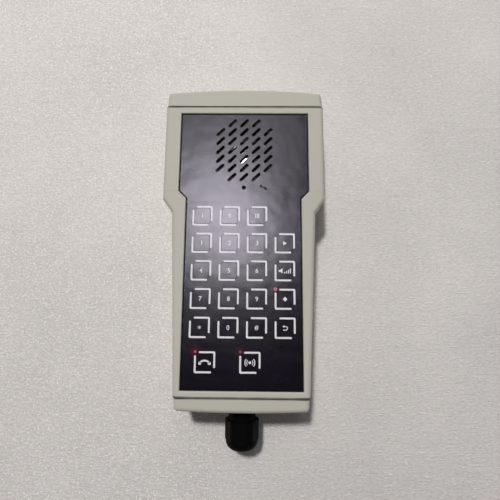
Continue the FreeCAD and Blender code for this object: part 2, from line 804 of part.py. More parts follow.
# End caps
lug_face_top = top_seam - s.spigot_length - s.fit_clearance
lug_face_bottom = bottom_seam + s.spigot_length + s.fit_clearance


class CapPlan:
    """The sizes in which the two end caps differ, with +1 for the head and -1 for the grip."""

    def __init__(self, name, side, seam, seam_half, lean, crown):
        self.name = name
        self.side = side
        self.seam = seam
        self.half = seam_half - s.cap_inset
        self.opening_half = seam_half - s.wall
        self.lean = lean
        self.crown = crown
        self.end = end_station * side
        self.face = seam + s.seam_gap * side

    def outline(self):
        """Corners in plan: straight leaning sides and a bowed end."""
        start = self.face - OVERRUN * self.side
        corner_up = self.end - self.crown * self.side
        narrow = self.half - self.lean
        depth = (corner_up - self.face) * self.side
        wide = self.half + self.lean * OVERRUN / depth
        return [
            Corner(wide * -self.side, start),
            Corner(wide * self.side, start),
            Corner(narrow * self.side, corner_up, self.crown),
            Corner(narrow * -self.side, corner_up),
        ]


top_plan = CapPlan("top_end_cap", 1, top_seam, head_half, s.top_lean, s.top_crown)
bottom_plan = CapPlan("bottom_end_cap", -1, bottom_seam, grip_end_half, s.bottom_lean, s.bottom_crown)


def end_cap(plan):
    """A hollow cap with a spigot that slips into the casing and posts for two screws."""
    cap = Piece(plan.name)
    sketch = cap.sketch("XY", s.split_level, "plan_front")
    draw_outline(sketch, plan.outline())
    cap.pad(sketch, border_level - s.split_level, 1, s.draft_angle)
    sketch = cap.sketch("XY", s.split_level, "plan_back")
    draw_outline(sketch, plan.outline())
    cap.pad(sketch, s.split_level, -1, s.draft_angle)
    face = plan.face.value

    def upright_corner(edge):
        box = edge.BoundBox
        outer = abs(box.Center.y) > abs(face)
        return box.ZLength > UPRIGHT_RATIO * max(box.XLength, box.YLength) and outer

    top = border_level.value

    def outer_rim(edge):
        flat = at_level(edge, top) or at_level(edge, 0.0)
        return flat and not (abs(edge.BoundBox.Center.y) < abs(face) and not runs_lengthwise(edge))

    cap.blend("Fillet", lambda e: upright_corner(e) or outer_rim(e), s.edge_round)
    sketch = cap.sketch("XY", 0, "seam_trim")
    wide = s.head_width
    draw_outline(sketch, rectangle(-wide, plan.face - OVERRUN * 2 * plan.side, wide, plan.face))
    cap.pocket(sketch, border_level * 2, 1)
    inner_end = plan.end - (plan.crown + s.wall) * plan.side
    hollow_depth = (inner_end - plan.face) * plan.side
    slack = s.fit_clearance
    half = plan.opening_half - slack
    low, high = s.wall + slack, ledge_under - slack
    sketch = cap.sketch("XZ", plan.face - s.spigot_length * plan.side - s.seam_gap * plan.side, "spigot")
    draw_outline(sketch, rectangle(-half, low, half, high))
    cap.pad(sketch, s.spigot_length + s.seam_gap, plan.side)
    sketch = cap.sketch("XZ", plan.face - (s.spigot_length + s.seam_gap) * plan.side, "hollow")
    thin = s.spigot_wall
    draw_outline(sketch, rectangle(thin - half, low + thin, half - thin, high - thin))
    cap.pocket(sketch, s.spigot_length + s.seam_gap + hollow_depth, plan.side)
    sketch = cap.sketch("XZ", plan.face - (s.spigot_length + s.seam_gap) * plan.side, "posts")
    for side in (-1, 1):
        draw_circle(sketch, s.cap_screw_across * side, s.cap_screw_level, s.boss_diameter)
    cap.pad(sketch, s.spigot_length + s.seam_gap + hollow_depth + s.wall / 2, plan.side)
    sketch = cap.sketch("XZ", plan.end, "screw_holes")
    for side in (-1, 1):
        draw_circle(
            sketch, s.cap_screw_across * side, s.cap_screw_level, s.screw_diameter + slack * 2
        )
    cap.pocket(sketch, s.casing_length / 2, -plan.side)
    sketch = cap.sketch("XZ", plan.end, "screw_wells")
    for side in (-1, 1):
        draw_circle(sketch, s.cap_screw_across * side, s.cap_screw_level, s.screw_head + slack * 3)
    cap.pocket(sketch, s.head_sink + plan.crown, -plan.side)
    return cap


def cap_seal(name, plan):
    """A flat frame of rubber between the casing's end and its cap."""
    seal = Piece(name)
    sketch = seal.sketch("XZ", plan.seam, "frame")
    outer = plan.half + s.cap_inset - s.seam_sink * 2
    draw_rounded(
        sketch,
        [
            ((outer - s.edge_round) * i, level)
            for i, level in (
                (-1, s.seam_sink + s.edge_round),
                (1, s.seam_sink + s.edge_round),
                (1, border_level - s.seam_sink - s.edge_round),
                (-1, border_level - s.seam_sink - s.edge_round),
            )
        ],
        s.edge_round,
    )
    draw_outline(
        sketch, rectangle(-plan.opening_half, s.wall, plan.opening_half, ledge_under)
    )
    seal.pad(sketch, s.seam_gap, plan.side)
    return seal


# Panel: plate, seal and foil
def draw_key_opening(sketch, across, up, margin):
    """Draw a key's opening, square with cut corners that touch the arc of an even gap."""
    reach = s.key_side / 2 + s.key_gap + margin
    cut = reach - (s.key_corner + s.key_gap + margin) * 2 * QUARTER_BOW
    steps = ((cut, -reach), (reach, -cut), (reach, cut), (cut, reach))
    half = [Corner(across + x, up + y) for x, y in steps]
    other = [Corner(across - x, up - y) for x, y in steps]
    draw_outline(sketch, half + other)


def draw_slot(sketch, across, up, margin):
    """Draw a grille slot that rises to the right at 45 degrees, square ended in the plate."""
    radius = s.slot_width / 2
    reach = (s.slot_length / 2 - radius) * DIAGONAL
    if margin.value == 0.0:
        draw_rounded(sketch, [(across - reach, up - reach), (across + reach, up + reach)], radius)
        return
    along = (s.slot_length / 2 + margin) * DIAGONAL
    aside = (radius + margin) * DIAGONAL
    draw_outline(
        sketch,
        [
            Corner(across - along + aside, up - along - aside),
            Corner(across + along + aside, up + along - aside),
            Corner(across + along - aside, up + along + aside),
            Corner(across - along - aside, up - along + aside),
        ],
    )


def cut_panel_openings(panel, level, depth, margin):
    """Cut the key, grille, light and sound openings down through a sheet of the panel."""
    sketch = panel.sketch("XY", level, "full_row")
    for column in columns:
        draw_key_opening(sketch, column, last_row, margin)
    cut = panel.pocket(sketch, depth * 2, -1)
    panel.repeat(cut, sketch, "V_Axis", s.key_pitch, len(grid))
    sketch = panel.sketch("XY", level, "other_keys")
    for word in ("key_memory_1", "key_memory_2", "key_memory_3", "key_answer", "key_talk"):
        draw_key_opening(sketch, key_places[word][0], key_places[word][1], margin)
    panel.pocket(sketch, depth * 2, -1)
    for word, first_line, reach, step, count in (
        ("long_slot_row", -2, 2, 1, 5),
        ("short_slot_row", -3, 1, 6, 2),
    ):
        sketch = panel.sketch("XY", level, word)
        up = grille_middle + s.slot_pitch_up * first_line
        for column in range(-reach, reach + 1):
            draw_slot(sketch, s.slot_pitch_across * column, up, margin)
        cut = panel.pocket(sketch, depth * 2, -1)
        panel.repeat(cut, sketch, "V_Axis", s.slot_pitch_up * step, count)
    sketch = panel.sketch("XY", level, "round_holes")
    draw_circle(sketch, 0, vent_station, s.vent_diameter)
    draw_circle(sketch, s.voice_across, voice_station, s.voice_diameter)
    for across, up in light_places:
        draw_circle(sketch, across, up, s.light_diameter + s.light_gap * 2)
    panel.pocket(sketch, depth * 2, -1)


stud_places = [
    (s.stud_circle / 2 * DIAGONAL * i, grille_middle + s.stud_circle / 2 * DIAGONAL * j)
    for i in (-1, 1)
    for j in (-1, 1)
]
clamp_foot = s.gasket_thickness + s.flange_thickness
stud_length = clamp_foot + s.clamp_thickness + s.nut_height + s.stud_end


def front_plate():
    """Aluminium plate under the foil, with pressed-in studs for the speaker clamps."""
    plate = Piece("front_plate")
    sketch = plate.sketch("XY", plate_under, "outline")
    draw_outline(sketch, recess_outline(s.plate_gap))
    plate.pad(sketch, s.plate_thickness)
    cut_panel_openings(plate, plate_top, s.plate_thickness, s.plate_margin)
    sketch = plate.sketch("XY", plate_top - s.plate_thickness / 2, "studs")
    for across, up in stud_places:
        draw_circle(sketch, across, up, s.stud_diameter)
    plate.pad(sketch, stud_length + s.plate_thickness / 2, -1)
    return plate


def front_foil():
    """Printed overlay on the plate."""
    foil = Piece("front_foil")
    sketch = foil.sketch("XY", plate_top, "outline")
    draw_outline(sketch, recess_outline(s.foil_gap))
    foil.pad(sketch, s.foil_thickness)
    cut_panel_openings(foil, foil_top, s.foil_thickness, Size.of(0))
    return foil


def plate_seal():
    """Adhesive frame between the plate and the casing's ledge."""
    seal = Piece("plate_seal")
    sketch = seal.sketch("XY", ledge_top, "frame")
    draw_outline(sketch, recess_outline(s.plate_gap))
    draw_outline(sketch, recess_outline(s.ledge_width))
    seal.pad(sketch, s.seal_thickness)
    return seal


# Keys and switches
key_under = s.key_rise - s.key_thickness
switch_top = board_top + s.switch_height - foil_top


def key(name):
    """One square key with a sloping rim and a stem that reaches into its switch."""
    piece = Piece(name)
    sketch = piece.sketch("XY", key_under, "outline")
    rounded_square(sketch, Size.of(0), Size.of(0), s.key_side, s.key_corner)
    piece.pad(sketch, s.key_thickness)
    top = s.key_rise.value
    piece.blend("Chamfer", lambda e: at_level(e, top), s.key_rim)
    sketch = piece.sketch("XY", key_under, "stem")
    half = s.stem_side / 2
    draw_outline(sketch, rectangle(-half, -half, half, half))
    piece.pad(sketch, key_under - switch_top + s.stem_entry, -1)
    piece.move(key_places[name][0], key_places[name][1], foil_top)
    return piece


def switch_bodies():
    """The fixed halves of the switches, each with a bore for its key's stem."""
    form = Piece("switch_form")
    sketch = form.sketch("XY", 0, "outline")
    half = s.switch_side / 2
    draw_outline(sketch, rectangle(-half, -half, half, half))
    form.pad(sketch, s.switch_height)
    sketch = form.sketch("XY", s.switch_height, "bore")
    half = s.stem_side / 2 + s.stem_gap
    draw_outline(sketch, rectangle(-half, -half, half, half))
    form.pocket(sketch, s.stem_entry + s.key_travel + s.fit_clearance, -1)
    return group("switch_bodies", form, [(x, y, board_top, 0) for x, y in key_places.values()])


# Lights
def light_pipes():
    """Clear rods that carry the lamps' light up to the foil."""
    form = Piece("light_form")
    lamp_top = board_top + s.lamp_height - foil_top
    collar_top = plate_under - foil_top
    radius = s.light_diameter / 2
    sketch = form.sketch("XZ", 0, "profile")
    draw_outline(
        sketch,
        [
            Corner(0, lamp_top),
            Corner(radius + s.light_flange / 2, lamp_top),
            Corner(radius + s.light_flange / 2, collar_top),
            Corner(radius, collar_top),
            Corner(radius, -s.foil_thickness),
            Corner(radius - s.foil_thickness, 0),
            Corner(0, 0),
        ],
    )
    form.turn(sketch)
    return group("light_pipes", form, [(x, y, foil_top, 0) for x, y in light_places])


def status_lamps():
    """Surface mounted lamps under the light pipes."""
    form = Piece("lamp_form")
    sketch = form.sketch("XY", 0, "outline")
    half = s.lamp_side / 2
    draw_outline(sketch, rectangle(-half, -half, half, half))
    form.pad(sketch, s.lamp_height)
    form.blend("Chamfer", lambda e: at_level(e, s.lamp_height.value), s.lamp_bevel)
    return group("status_lamps", form, [(x, y, board_top, 0) for x, y in light_places])


# Circuit board and what it carries
board_end_station = bottom_seam + s.board_end_gap


def main_board():
    """Circuit board behind the keypad."""
    board = Piece("main_board")
    sketch = board.sketch("XY", board_under, "outline")
    half = s.board_width / 2
    draw_outline(sketch, rectangle(-half, board_end_station, half, s.board_top_edge))
    for across, up in spacer_places:
        draw_circle(sketch, across, up, s.small_thread + s.fit_clearance)
    board.pad(sketch, s.board_thickness)

    def corner(edge):
        box = edge.BoundBox
        return box.ZLength > NEAR and abs(box.Center.x) > half.value - NEAR

    board.blend("Fillet", corner, s.board_corner)
    return board


def board_spacers():
    """Threaded spacers between the plate and the board."""
    form = Piece("spacer_form")
    sketch = form.sketch("XY", 0, "section")
    hexagon(sketch, s.spacer_flats)
    draw_circle(sketch, 0, 0, s.small_thread)
    form.pad(sketch, s.spacer_length)
    return group("board_spacers", form, [(x, y, board_top, 0) for x, y in spacer_places])


def screw_profile(head, height, thread, length, out):
    """Corners of a socket head screw: out is the side of its seat that the head lies on."""
    radius = head / 2
    shank = (thread - s.screw_slack) / 2
    return [
        Corner(0, height * out),
        Corner(radius, height * out),
        Corner(radius, 0),
        Corner(shank, 0),
        Corner(shank, length * -out),
        Corner(0, length * -out),
    ]


def screw_form(name, head, height, thread, length):
    """A socket head screw whose head's seat is at its origin and whose shank points up +Z."""
    form = Piece(name)
    sketch = form.sketch("XZ", 0, "profile")
    draw_outline(sketch, screw_profile(head, height, thread, length, -1))
    form.turn(sketch)
    sketch = form.sketch("XY", -height, "socket")
    hexagon(sketch, head * SOCKET_SHARE)
    form.pocket(sketch, height * SOCKET_SHARE, 1)
    return form


def board_screws():
    """Screws from behind the board into the spacers."""
    form = screw_form(
        "board_screw_form",
        s.small_head,
        s.small_head_height,
        s.small_thread,
        s.small_screw_length,
    )
    return group("board_screws", form, [(x, y, board_under, 0) for x, y in spacer_places])


def chip_form(name, width, length):
    """A chip with a chamfered face, hanging down from its origin."""
    form = Piece(name)
    sketch = form.sketch("XY", 0, "outline")
    draw_outline(sketch, rectangle(-width / 2, -length / 2, width / 2, length / 2))
    form.pad(sketch, s.chip_height, -1)
    low = -s.chip_height.value
    form.blend("Chamfer", lambda e: at_level(e, low), s.chip_bevel)
    return form


def processor():
    """Processor in the middle of the board's back."""
    chip = chip_form("processor", s.chip_side, s.chip_side)
    chip.move(0, spaced_row(1.5), board_under)
    return chip


def audio_chips():
    """Amplifier and line chips on the board's back."""
    form = chip_form("audio_chip_form", s.small_chip_width, s.small_chip_length)
    places = [(s.chip_across, spaced_row(count), board_under, 0) for count in (1.5, 3.5)]
    return group("audio_chips", form, places)


def capacitors():
    """Power capacitors on the board's back."""
    form = Piece("capacitor_form")
    sketch = form.sketch("XY", 0, "can")
    draw_circle(sketch, 0, 0, s.capacitor_diameter)
    form.pad(sketch, s.capacitor_height, -1)
    low = -s.capacitor_height.value
    form.blend("Chamfer", lambda e: at_level(e, low), s.capacitor_bevel)
    places = [
        (-s.capacitor_across, spaced_row(1.5) + s.capacitor_step * n, board_under, 0)
        for n in (-1, 0, 1)
    ]
    return group("capacitors", form, places)


def cable_terminal():
    """Screw terminals for the cable, open towards the gland."""
    block = Piece("cable_terminal")
    sketch = block.sketch("XY", 0, "outline")
    half = s.terminal_width / 2
    draw_outline(sketch, rectangle(-half, 0, half, s.terminal_length))
    block.pad(sketch, s.terminal_height, -1)
    pitch = s.terminal_width / TERMINAL_POLES
    middles = [pitch * (number + 0.5) - half for number in range(TERMINAL_POLES)]
    sketch = block.sketch("XZ", 0, "wire_mouths")
    aside = s.wire_mouth / 2
    low, high = -s.wire_mouth_low, s.wire_mouth - s.wire_mouth_low
    for middle in middles:
        draw_outline(sketch, rectangle(middle - aside, low, middle + aside, high))
    block.pocket(sketch, s.wire_mouth_depth, 1)
    sketch = block.sketch("XY", -s.terminal_height, "screw_mouths")
    for middle in middles:
        draw_circle(sketch, middle, s.screw_mouth_up, s.screw_mouth)
    block.pocket(sketch, s.screw_mouth_depth, 1)
    block.move(0, board_end_station + s.terminal_margin, board_under)
    return block


# Speaker, with its own origin on the plate's underside in the middle of the grille
flange_top = -s.gasket_thickness
flange_under = flange_top - s.flange_thickness
basket_under = flange_under - s.basket_depth
speaker_radius = s.speaker_diameter / 2
throat_radius = speaker_radius - s.speaker_flange
back_radius = s.basket_back / 2
coil_radius = s.coil_diameter / 2


def seat_speaker_piece(piece):
    """Put a speaker piece's origin on its axis under the plate."""
    piece.move(0, grille_middle, plate_under)
    return piece


def speaker_gasket():
    """Foam ring between the speaker's flange and the plate."""
    gasket = Piece("speaker_gasket")
    sketch = gasket.sketch("XY", flange_top, "ring")
    draw_circle(sketch, 0, 0, s.speaker_diameter)
    draw_circle(sketch, 0, 0, s.speaker_diameter - s.gasket_width * 2)
    gasket.pad(sketch, s.gasket_thickness)
    return seat_speaker_piece(gasket)


def speaker_basket():
    """Pressed frame of the speaker with four windows in its wall."""
    basket = Piece("speaker_basket")
    sketch = basket.sketch("XZ", 0, "profile")
    thick = s.flange_thickness
    draw_outline(
        sketch,
        [
            Corner(throat_radius, flange_top),
            Corner(throat_radius, flange_under),
            Corner(back_radius - thick, basket_under + thick),
            Corner(coil_radius + thick * 2, basket_under + thick),
            Corner(coil_radius + thick * 2, basket_under),
            Corner(back_radius, basket_under),
            Corner(throat_radius + thick, flange_under),
            Corner(speaker_radius, flange_under),
            Corner(speaker_radius, flange_top),
        ],
    )
    basket.turn(sketch)
    sketch = basket.sketch("XZ", -speaker_radius, "window")
    top, foot = s.window_top / 2, s.window_foot / 2
    draw_outline(
        sketch,
        [
            Corner(-foot, basket_under + thick * 3),
            Corner(foot, basket_under + thick * 3),
            Corner(top, flange_under - thick * 2),
            Corner(-top, flange_under - thick * 2),
        ],
    )
    cut = basket.pocket(sketch, speaker_radius - coil_radius, 1)
    ring_sketch = basket.sketch("XY", 0, "turn_axis")
    doc.recompute()
    basket.around(cut, ring_sketch, 4)
    return seat_speaker_piece(basket)


def speaker_cone():
    """Rim, rolled surround, cone, dust cap and coil tube in one turned piece."""
    cone = Piece("speaker_cone")
    sketch = cone.sketch("XZ", 0, "profile")
    thin = s.cone_thickness
    rim_top = flange_top + thin
    rim_radius = speaker_radius - s.gasket_width - s.fit_clearance
    roll_radius = throat_radius - s.roll_width
    dome_radius = s.dome_diameter / 2
    flat_radius = s.dome_flat / 2
    fall = s.cone_depth / (roll_radius - coil_radius)
    dome_edge = rim_top - fall * (roll_radius - dome_radius)
    neck = rim_top - s.cone_depth
    draw_outline(
        sketch,
        [
            Corner(0, dome_edge + s.dome_rise - thin),
            Corner(0, dome_edge + s.dome_rise),
            Corner(flat_radius, dome_edge + s.dome_rise, -s.dome_bow),
            Corner(dome_radius, dome_edge),
            Corner(roll_radius, rim_top),
            Corner(rim_radius, rim_top),
            Corner(rim_radius, flange_top),
            Corner(roll_radius, flange_top),
            Corner(coil_radius, neck - thin),
            Corner(coil_radius, basket_under + s.flange_thickness * 2),
            Corner(coil_radius - thin, basket_under + s.flange_thickness * 2),
            Corner(coil_radius - thin, neck),
            Corner(dome_radius - thin, dome_edge - thin),
            Corner(flat_radius, dome_edge + s.dome_rise - thin),
        ],
    )
    cone.turn(sketch)
    return seat_speaker_piece(cone)


def speaker_magnet():
    """Magnet, pole plate and yoke behind the basket."""
    magnet = Piece("speaker_magnet")
    sketch = magnet.sketch("XY", basket_under, "disc")
    draw_circle(sketch, 0, 0, s.magnet_diameter)
    magnet.pad(sketch, s.magnet_height, -1)
    low = basket_under.value - s.magnet_height.value
    magnet.blend("Chamfer", lambda e: at_level(e, low), s.magnet_bevel)
    return seat_speaker_piece(magnet)


def speaker_clamps():
    """Clamps that stand on the plate and press on the speaker's flange."""
    form = Piece("clamp_form")
    sketch = form.sketch("XZ", -s.clamp_width / 2, "profile")
    overlap = s.speaker_flange / 2
    inner = speaker_radius - s.stud_circle / 2
    heel = s.clamp_heel
    foot = s.stud_diameter / 2 + s.fit_clearance
    draw_outline(
        sketch,
        [
            Corner(inner - overlap, -clamp_foot),
            Corner(inner - overlap, -clamp_foot - s.clamp_thickness),
            Corner(heel, -clamp_foot - s.clamp_thickness),
            Corner(heel, 0),
            Corner(foot, 0),
            Corner(foot, -clamp_foot),
        ],
    )
    form.pad(sketch, s.clamp_width)
    sketch = form.sketch("XY", 0, "stud_hole")
    draw_circle(sketch, 0, 0, s.stud_diameter + s.fit_clearance * 2)
    form.pocket(sketch, clamp_foot + s.clamp_thickness * 2, -1)
    places = [(x, y, plate_under) for x, y in stud_places]
    turns = (225, 135, 315, 45)
    return group("speaker_clamps", form, [p + (turn,) for p, turn in zip(places, turns)])


def clamp_nuts():
    """Nuts on the studs, under the clamps."""
    form = Piece("clamp_nut_form")
    sketch = form.sketch("XY", 0, "hexagon")
    hexagon(sketch, s.nut_side)
    draw_circle(sketch, 0, 0, s.stud_diameter + s.fit_clearance / 2)
    form.pad(sketch, s.nut_height, -1)
    level = plate_under - clamp_foot - s.clamp_thickness
    return group("clamp_nuts", form, [(x, y, level, 0) for x, y in stud_places])


def speaker_leads():
    """Two wires from the speaker's flange down and round to the back of the board."""
    form = Piece("lead_form")
    start_up = grille_middle - (throat_radius + speaker_radius) / 2
    start_level = plate_under + flange_under
    end_up = s.board_top_edge - s.lead_bend
    end_level = board_under
    run_level = board_under - s.lead_drop
    bend = s.lead_bend
    half = s.lead_side / 2
    outer, inner = bend + half, bend - half
    sketch = form.sketch("YZ", -half, "route")
    draw_outline(
        sketch,
        [
            Corner(start_up + half, start_level),
            Corner(start_up - half, start_level),
            Corner(start_up - half, run_level + bend, inner * -QUARTER_BOW),
            Corner(start_up - bend, run_level + half),
            Corner(end_up + bend, run_level + half, inner * -QUARTER_BOW),
            Corner(end_up + half, run_level + bend),
            Corner(end_up + half, end_level),
            Corner(end_up - half, end_level),
            Corner(end_up - half, run_level + bend, outer * QUARTER_BOW),
            Corner(end_up + bend, run_level - half),
            Corner(start_up - bend, run_level - half, outer * QUARTER_BOW),
            Corner(start_up + half, run_level + bend),
        ],
    )
    form.pad(sketch, s.lead_side)
    half = s.lead_spacing / 2
    return group("speaker_leads", form, [(half * side, 0, 0, 0) for side in (-1, 1)])


# Microphone
def microphone_boot():
    """Rubber boot between plate and board that holds the capsule under the voice hole."""
    boot = Piece("microphone_boot")
    sketch = boot.sketch("XY", 0, "outline")
    draw_circle(sketch, 0, 0, s.boot_diameter)
    boot.pad(sketch, s.spacer_length, -1)
    sketch = boot.sketch("XY", 0, "voice_duct")
    draw_circle(sketch, 0, 0, s.voice_diameter)
    boot.pocket(sketch, s.spacer_length, -1)
    sketch = boot.sketch("XY", -s.spacer_length, "seat")
    draw_circle(sketch, 0, 0, s.capsule_diameter)
    boot.pocket(sketch, s.capsule_height, 1)
    boot.move(s.voice_across, voice_station, plate_under)
    return boot


def microphone():
    """Electret capsule with its port towards the duct."""
    capsule = Piece("microphone")
    sketch = capsule.sketch("XY", 0, "outline")
    draw_circle(sketch, 0, 0, s.capsule_diameter)
    capsule.pad(sketch, s.capsule_height)
    sketch = capsule.sketch("XY", s.capsule_height, "port")
    draw_circle(sketch, 0, 0, s.voice_diameter)
    capsule.pocket(sketch, s.capsule_height / 4, -1)
    capsule.move(s.voice_across, voice_station, board_top)
    return capsule


# Casing screws
def screw_inserts():
    """Brass inserts in the front half's bosses."""
    form = Piece("insert_form")
    sketch = form.sketch("XY", 0, "ring")
    draw_circle(sketch, 0, 0, s.insert_diameter)
    draw_circle(sketch, 0, 0, s.screw_diameter)
    form.pad(sketch, s.insert_length)
    return group("screw_inserts", form, [(x, y, s.split_level, 0) for x, y in boss_places])


def casing_screws():
    """Screws from the wells in the back up into the inserts."""
    length = s.split_level - s.head_sink + s.insert_length
    form = screw_form(
        "casing_screw_form", s.screw_head, s.head_height, s.screw_diameter, length
    )
    return group("casing_screws", form, [(x, y, s.head_sink, 0) for x, y in boss_places])


def cap_screws(name, plan, lug_face):
    """Screws through an end cap into the lugs of the rear half."""
    seat = plan.end - (s.head_sink + plan.crown) * plan.side
    length = (seat - lug_face) * plan.side + s.lug_length - s.wall
    form = Piece(name + "_form")
    sketch = form.sketch("XY", 0, "profile")
    draw_outline(
        sketch, screw_profile(s.screw_head, s.head_height, s.screw_diameter, length, 1)
    )
    form.turn(sketch)
    sketch = form.sketch("XZ", s.head_height, "socket")
    hexagon(sketch, s.screw_head * SOCKET_SHARE)
    form.pocket(sketch, s.head_height * SOCKET_SHARE, -1)
    turn = 0 if plan.side > 0 else 180
    places = [(s.cap_screw_across * side, seat, s.cap_screw_level, turn) for side in (-1, 1)]
    return group(name, form, places)


# Cable gland on the casing's axis, stations measured out from the grip cap's end
gland_level = border_level / 2
collar_start = s.gland_neck
collar_end = collar_start + s.collar_length
nut_end = collar_end + s.nut_straight + s.nut_dome


def seat_gland_piece(piece):
    """Stand a gland piece, modelled along -Y, on the grip cap's end."""
    piece.move(0, -end_station, gland_level)
    return piece


def gland_hexagon(piece, start, end):
    """Add a hexagonal length with rounded corners to a gland piece."""
    sketch = piece.sketch("XZ", -start, "hexagon")
    hexagon(sketch, s.gland_flats)
    piece.pad(sketch, end - start, -1)
    sketch = piece.sketch("XY", 0, "corner_turning")
    reach = s.gland_flats
    draw_outline(sketch, rectangle(s.gland_corners / 2, -end, reach, -start))
    piece.turn(sketch, cuts=True)


def gland_body():
    """Threaded body with its collar, and the tube that squeezes the seal."""
    body = Piece("gland_body")
    gland_hexagon(body, collar_start, collar_end)
    sketch = body.sketch("XZ", s.gland_reach, "thread")
    draw_circle(sketch, 0, 0, s.gland_thread)
    body.pad(sketch, s.gland_reach + collar_start, -1)
    sketch = body.sketch("XZ", -collar_end, "tube")
    draw_circle(sketch, 0, 0, s.gland_tube)
    body.pad(sketch, s.nut_straight, -1)
    sketch = body.sketch("XZ", s.gland_reach, "bore")
    draw_circle(sketch, 0, 0, s.gland_bore)
    body.pocket(sketch, s.gland_reach + nut_end, -1)
    return seat_gland_piece(body)


def gland_nut():
    """Domed nut over the clamping tube."""
    nut = Piece("gland_nut")
    straight_end = collar_end + s.nut_straight
    gland_hexagon(nut, collar_end, straight_end)
    sketch = nut.sketch("XY", 0, "dome")
    radius = s.gland_flats / 2
    draw_outline(
        sketch,
        [
            Corner(0, -straight_end),
            Corner(0, -nut_end),
            Corner(s.nut_mouth / 2 + s.nut_rim, -nut_end, s.nut_bow),
            Corner(radius, -straight_end),
        ],
    )
    nut.turn(sketch)
    sketch = nut.sketch("XZ", -nut_end, "mouth")
    draw_circle(sketch, 0, 0, s.nut_mouth)
    nut.pocket(sketch, nut_end, 1)
    sketch = nut.sketch("XZ", -collar_end, "tube_room")
    draw_circle(sketch, 0, 0, s.gland_tube + s.fit_clearance)
    nut.pocket(sketch, s.nut_straight + s.fit_clearance, -1)
    return seat_gland_piece(nut)


def gland_seal():
    """Rubber sleeve in the gland that grips a cable."""
    seal = Piece("gland_seal")
    end = collar_end + s.nut_straight + s.seal_reach
    sketch = seal.sketch("XZ", -end, "outline")
    draw_circle(sketch, 0, 0, s.nut_mouth)
    draw_circle(sketch, 0, 0, s.cable_bore)
    seal.pad(sketch, s.seal_length, 1)
    return seat_gland_piece(seal)


cap_inner_face = s.bottom_crown + s.wall


def gland_washer():
    """Sealing washer inside the grip cap."""
    washer = Piece("gland_washer")
    sketch = washer.sketch("XZ", cap_inner_face, "ring")
    draw_circle(sketch, 0, 0, s.locknut_flats)
    draw_circle(sketch, 0, 0, s.gland_thread + s.fit_clearance / 2)
    washer.pad(sketch, s.washer_thickness, 1)
    return seat_gland_piece(washer)


def gland_locknut():
    """Locknut on the gland's thread inside the grip cap."""
    nut = Piece("gland_locknut")
    sketch = nut.sketch("XZ", cap_inner_face + s.washer_thickness, "hexagon")
    hexagon(sketch, s.locknut_flats)
    draw_circle(sketch, 0, 0, s.gland_thread + s.fit_clearance / 2)
    nut.pad(sketch, s.locknut_height, 1)
    return seat_gland_piece(nut)


def cut_gland_hole(cap):
    """Bore the grip cap for the gland's thread."""
    sketch = cap.sketch("XZ", -end_station, "gland_hole")
    draw_circle(sketch, 0, gland_level, s.gland_thread + s.fit_clearance / 2)
    cap.pocket(sketch, s.bottom_crown + s.wall * 2, 1)


nodes = []


def keep(piece):
    """List a finished sub-part for export."""
    nodes.append(piece.body if isinstance(piece, Piece) else piece)
    return piece


keep(front_shell())
keep(rear_shell())
keep(casing_seal())
keep(end_cap(top_plan))
bottom_cap = keep(end_cap(bottom_plan))
cut_gland_hole(bottom_cap)
keep(cap_seal("top_cap_seal", top_plan))
keep(cap_seal("bottom_cap_seal", bottom_plan))
keep(front_plate())
keep(front_foil())
keep(plate_seal())
for word in key_places:
    keep(key(word))
keep(switch_bodies())
keep(light_pipes())
keep(status_lamps())
keep(main_board())
keep(board_spacers())
keep(board_screws())
keep(processor())
keep(audio_chips())
keep(capacitors())
keep(cable_terminal())
keep(speaker_gasket())
keep(speaker_basket())
keep(speaker_cone())
keep(speaker_magnet())
keep(speaker_clamps())
keep(clamp_nuts())
keep(speaker_leads())
keep(microphone_boot())
keep(microphone())
keep(screw_inserts())
keep(casing_screws())
keep(cap_screws("top_cap_screws", top_plan, lug_face_top))
keep(cap_screws("bottom_cap_screws", bottom_plan, lug_face_bottom))
keep(gland_body())
keep(gland_nut())
keep(gland_seal())
keep(gland_washer())
keep(gland_locknut())

doc.recompute()
for thing in doc.Objects:
    if "Invalid" in thing.State or "Error" in thing.State:
        raise RuntimeError("%s is in state %s" % (thing.Name, thing.State))
for node in nodes:
    if node.Shape.isNull() or not node.Shape.isValid():
        raise RuntimeError("%s has no valid shape" % node.Label)

os.makedirs("parts", exist_ok=True)
for node in nodes:
    node.Shape.exportStep("parts/%s.step" % node.Label)
print("%d sub-parts written" % len(nodes))
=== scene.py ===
"""Finishes, print and small details of a marine telephone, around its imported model."""

import logging
import math
from dataclasses import dataclass
from enum import Enum
from typing import Any, ClassVar, Protocol

import bmesh
import bpy
from mathutils import Matrix, Vector


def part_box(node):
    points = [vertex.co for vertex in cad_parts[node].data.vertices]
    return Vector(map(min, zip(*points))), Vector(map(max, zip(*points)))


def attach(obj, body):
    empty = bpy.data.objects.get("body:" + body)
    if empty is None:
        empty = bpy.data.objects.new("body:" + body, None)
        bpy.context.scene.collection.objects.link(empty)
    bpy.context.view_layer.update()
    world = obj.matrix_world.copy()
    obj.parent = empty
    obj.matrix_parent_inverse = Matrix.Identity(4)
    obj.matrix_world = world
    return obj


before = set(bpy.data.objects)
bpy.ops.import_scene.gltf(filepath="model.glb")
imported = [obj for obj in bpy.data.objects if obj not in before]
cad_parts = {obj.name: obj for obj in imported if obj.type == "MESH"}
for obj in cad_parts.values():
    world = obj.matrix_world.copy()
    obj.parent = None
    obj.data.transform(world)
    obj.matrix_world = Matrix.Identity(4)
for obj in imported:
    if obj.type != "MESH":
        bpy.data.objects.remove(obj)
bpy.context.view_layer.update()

MM = 0.001
Colour = tuple[float, float, float]
Tone = Colour | bpy.types.NodeSocket
BLACK: Colour = (0.0, 0.0, 0.0)


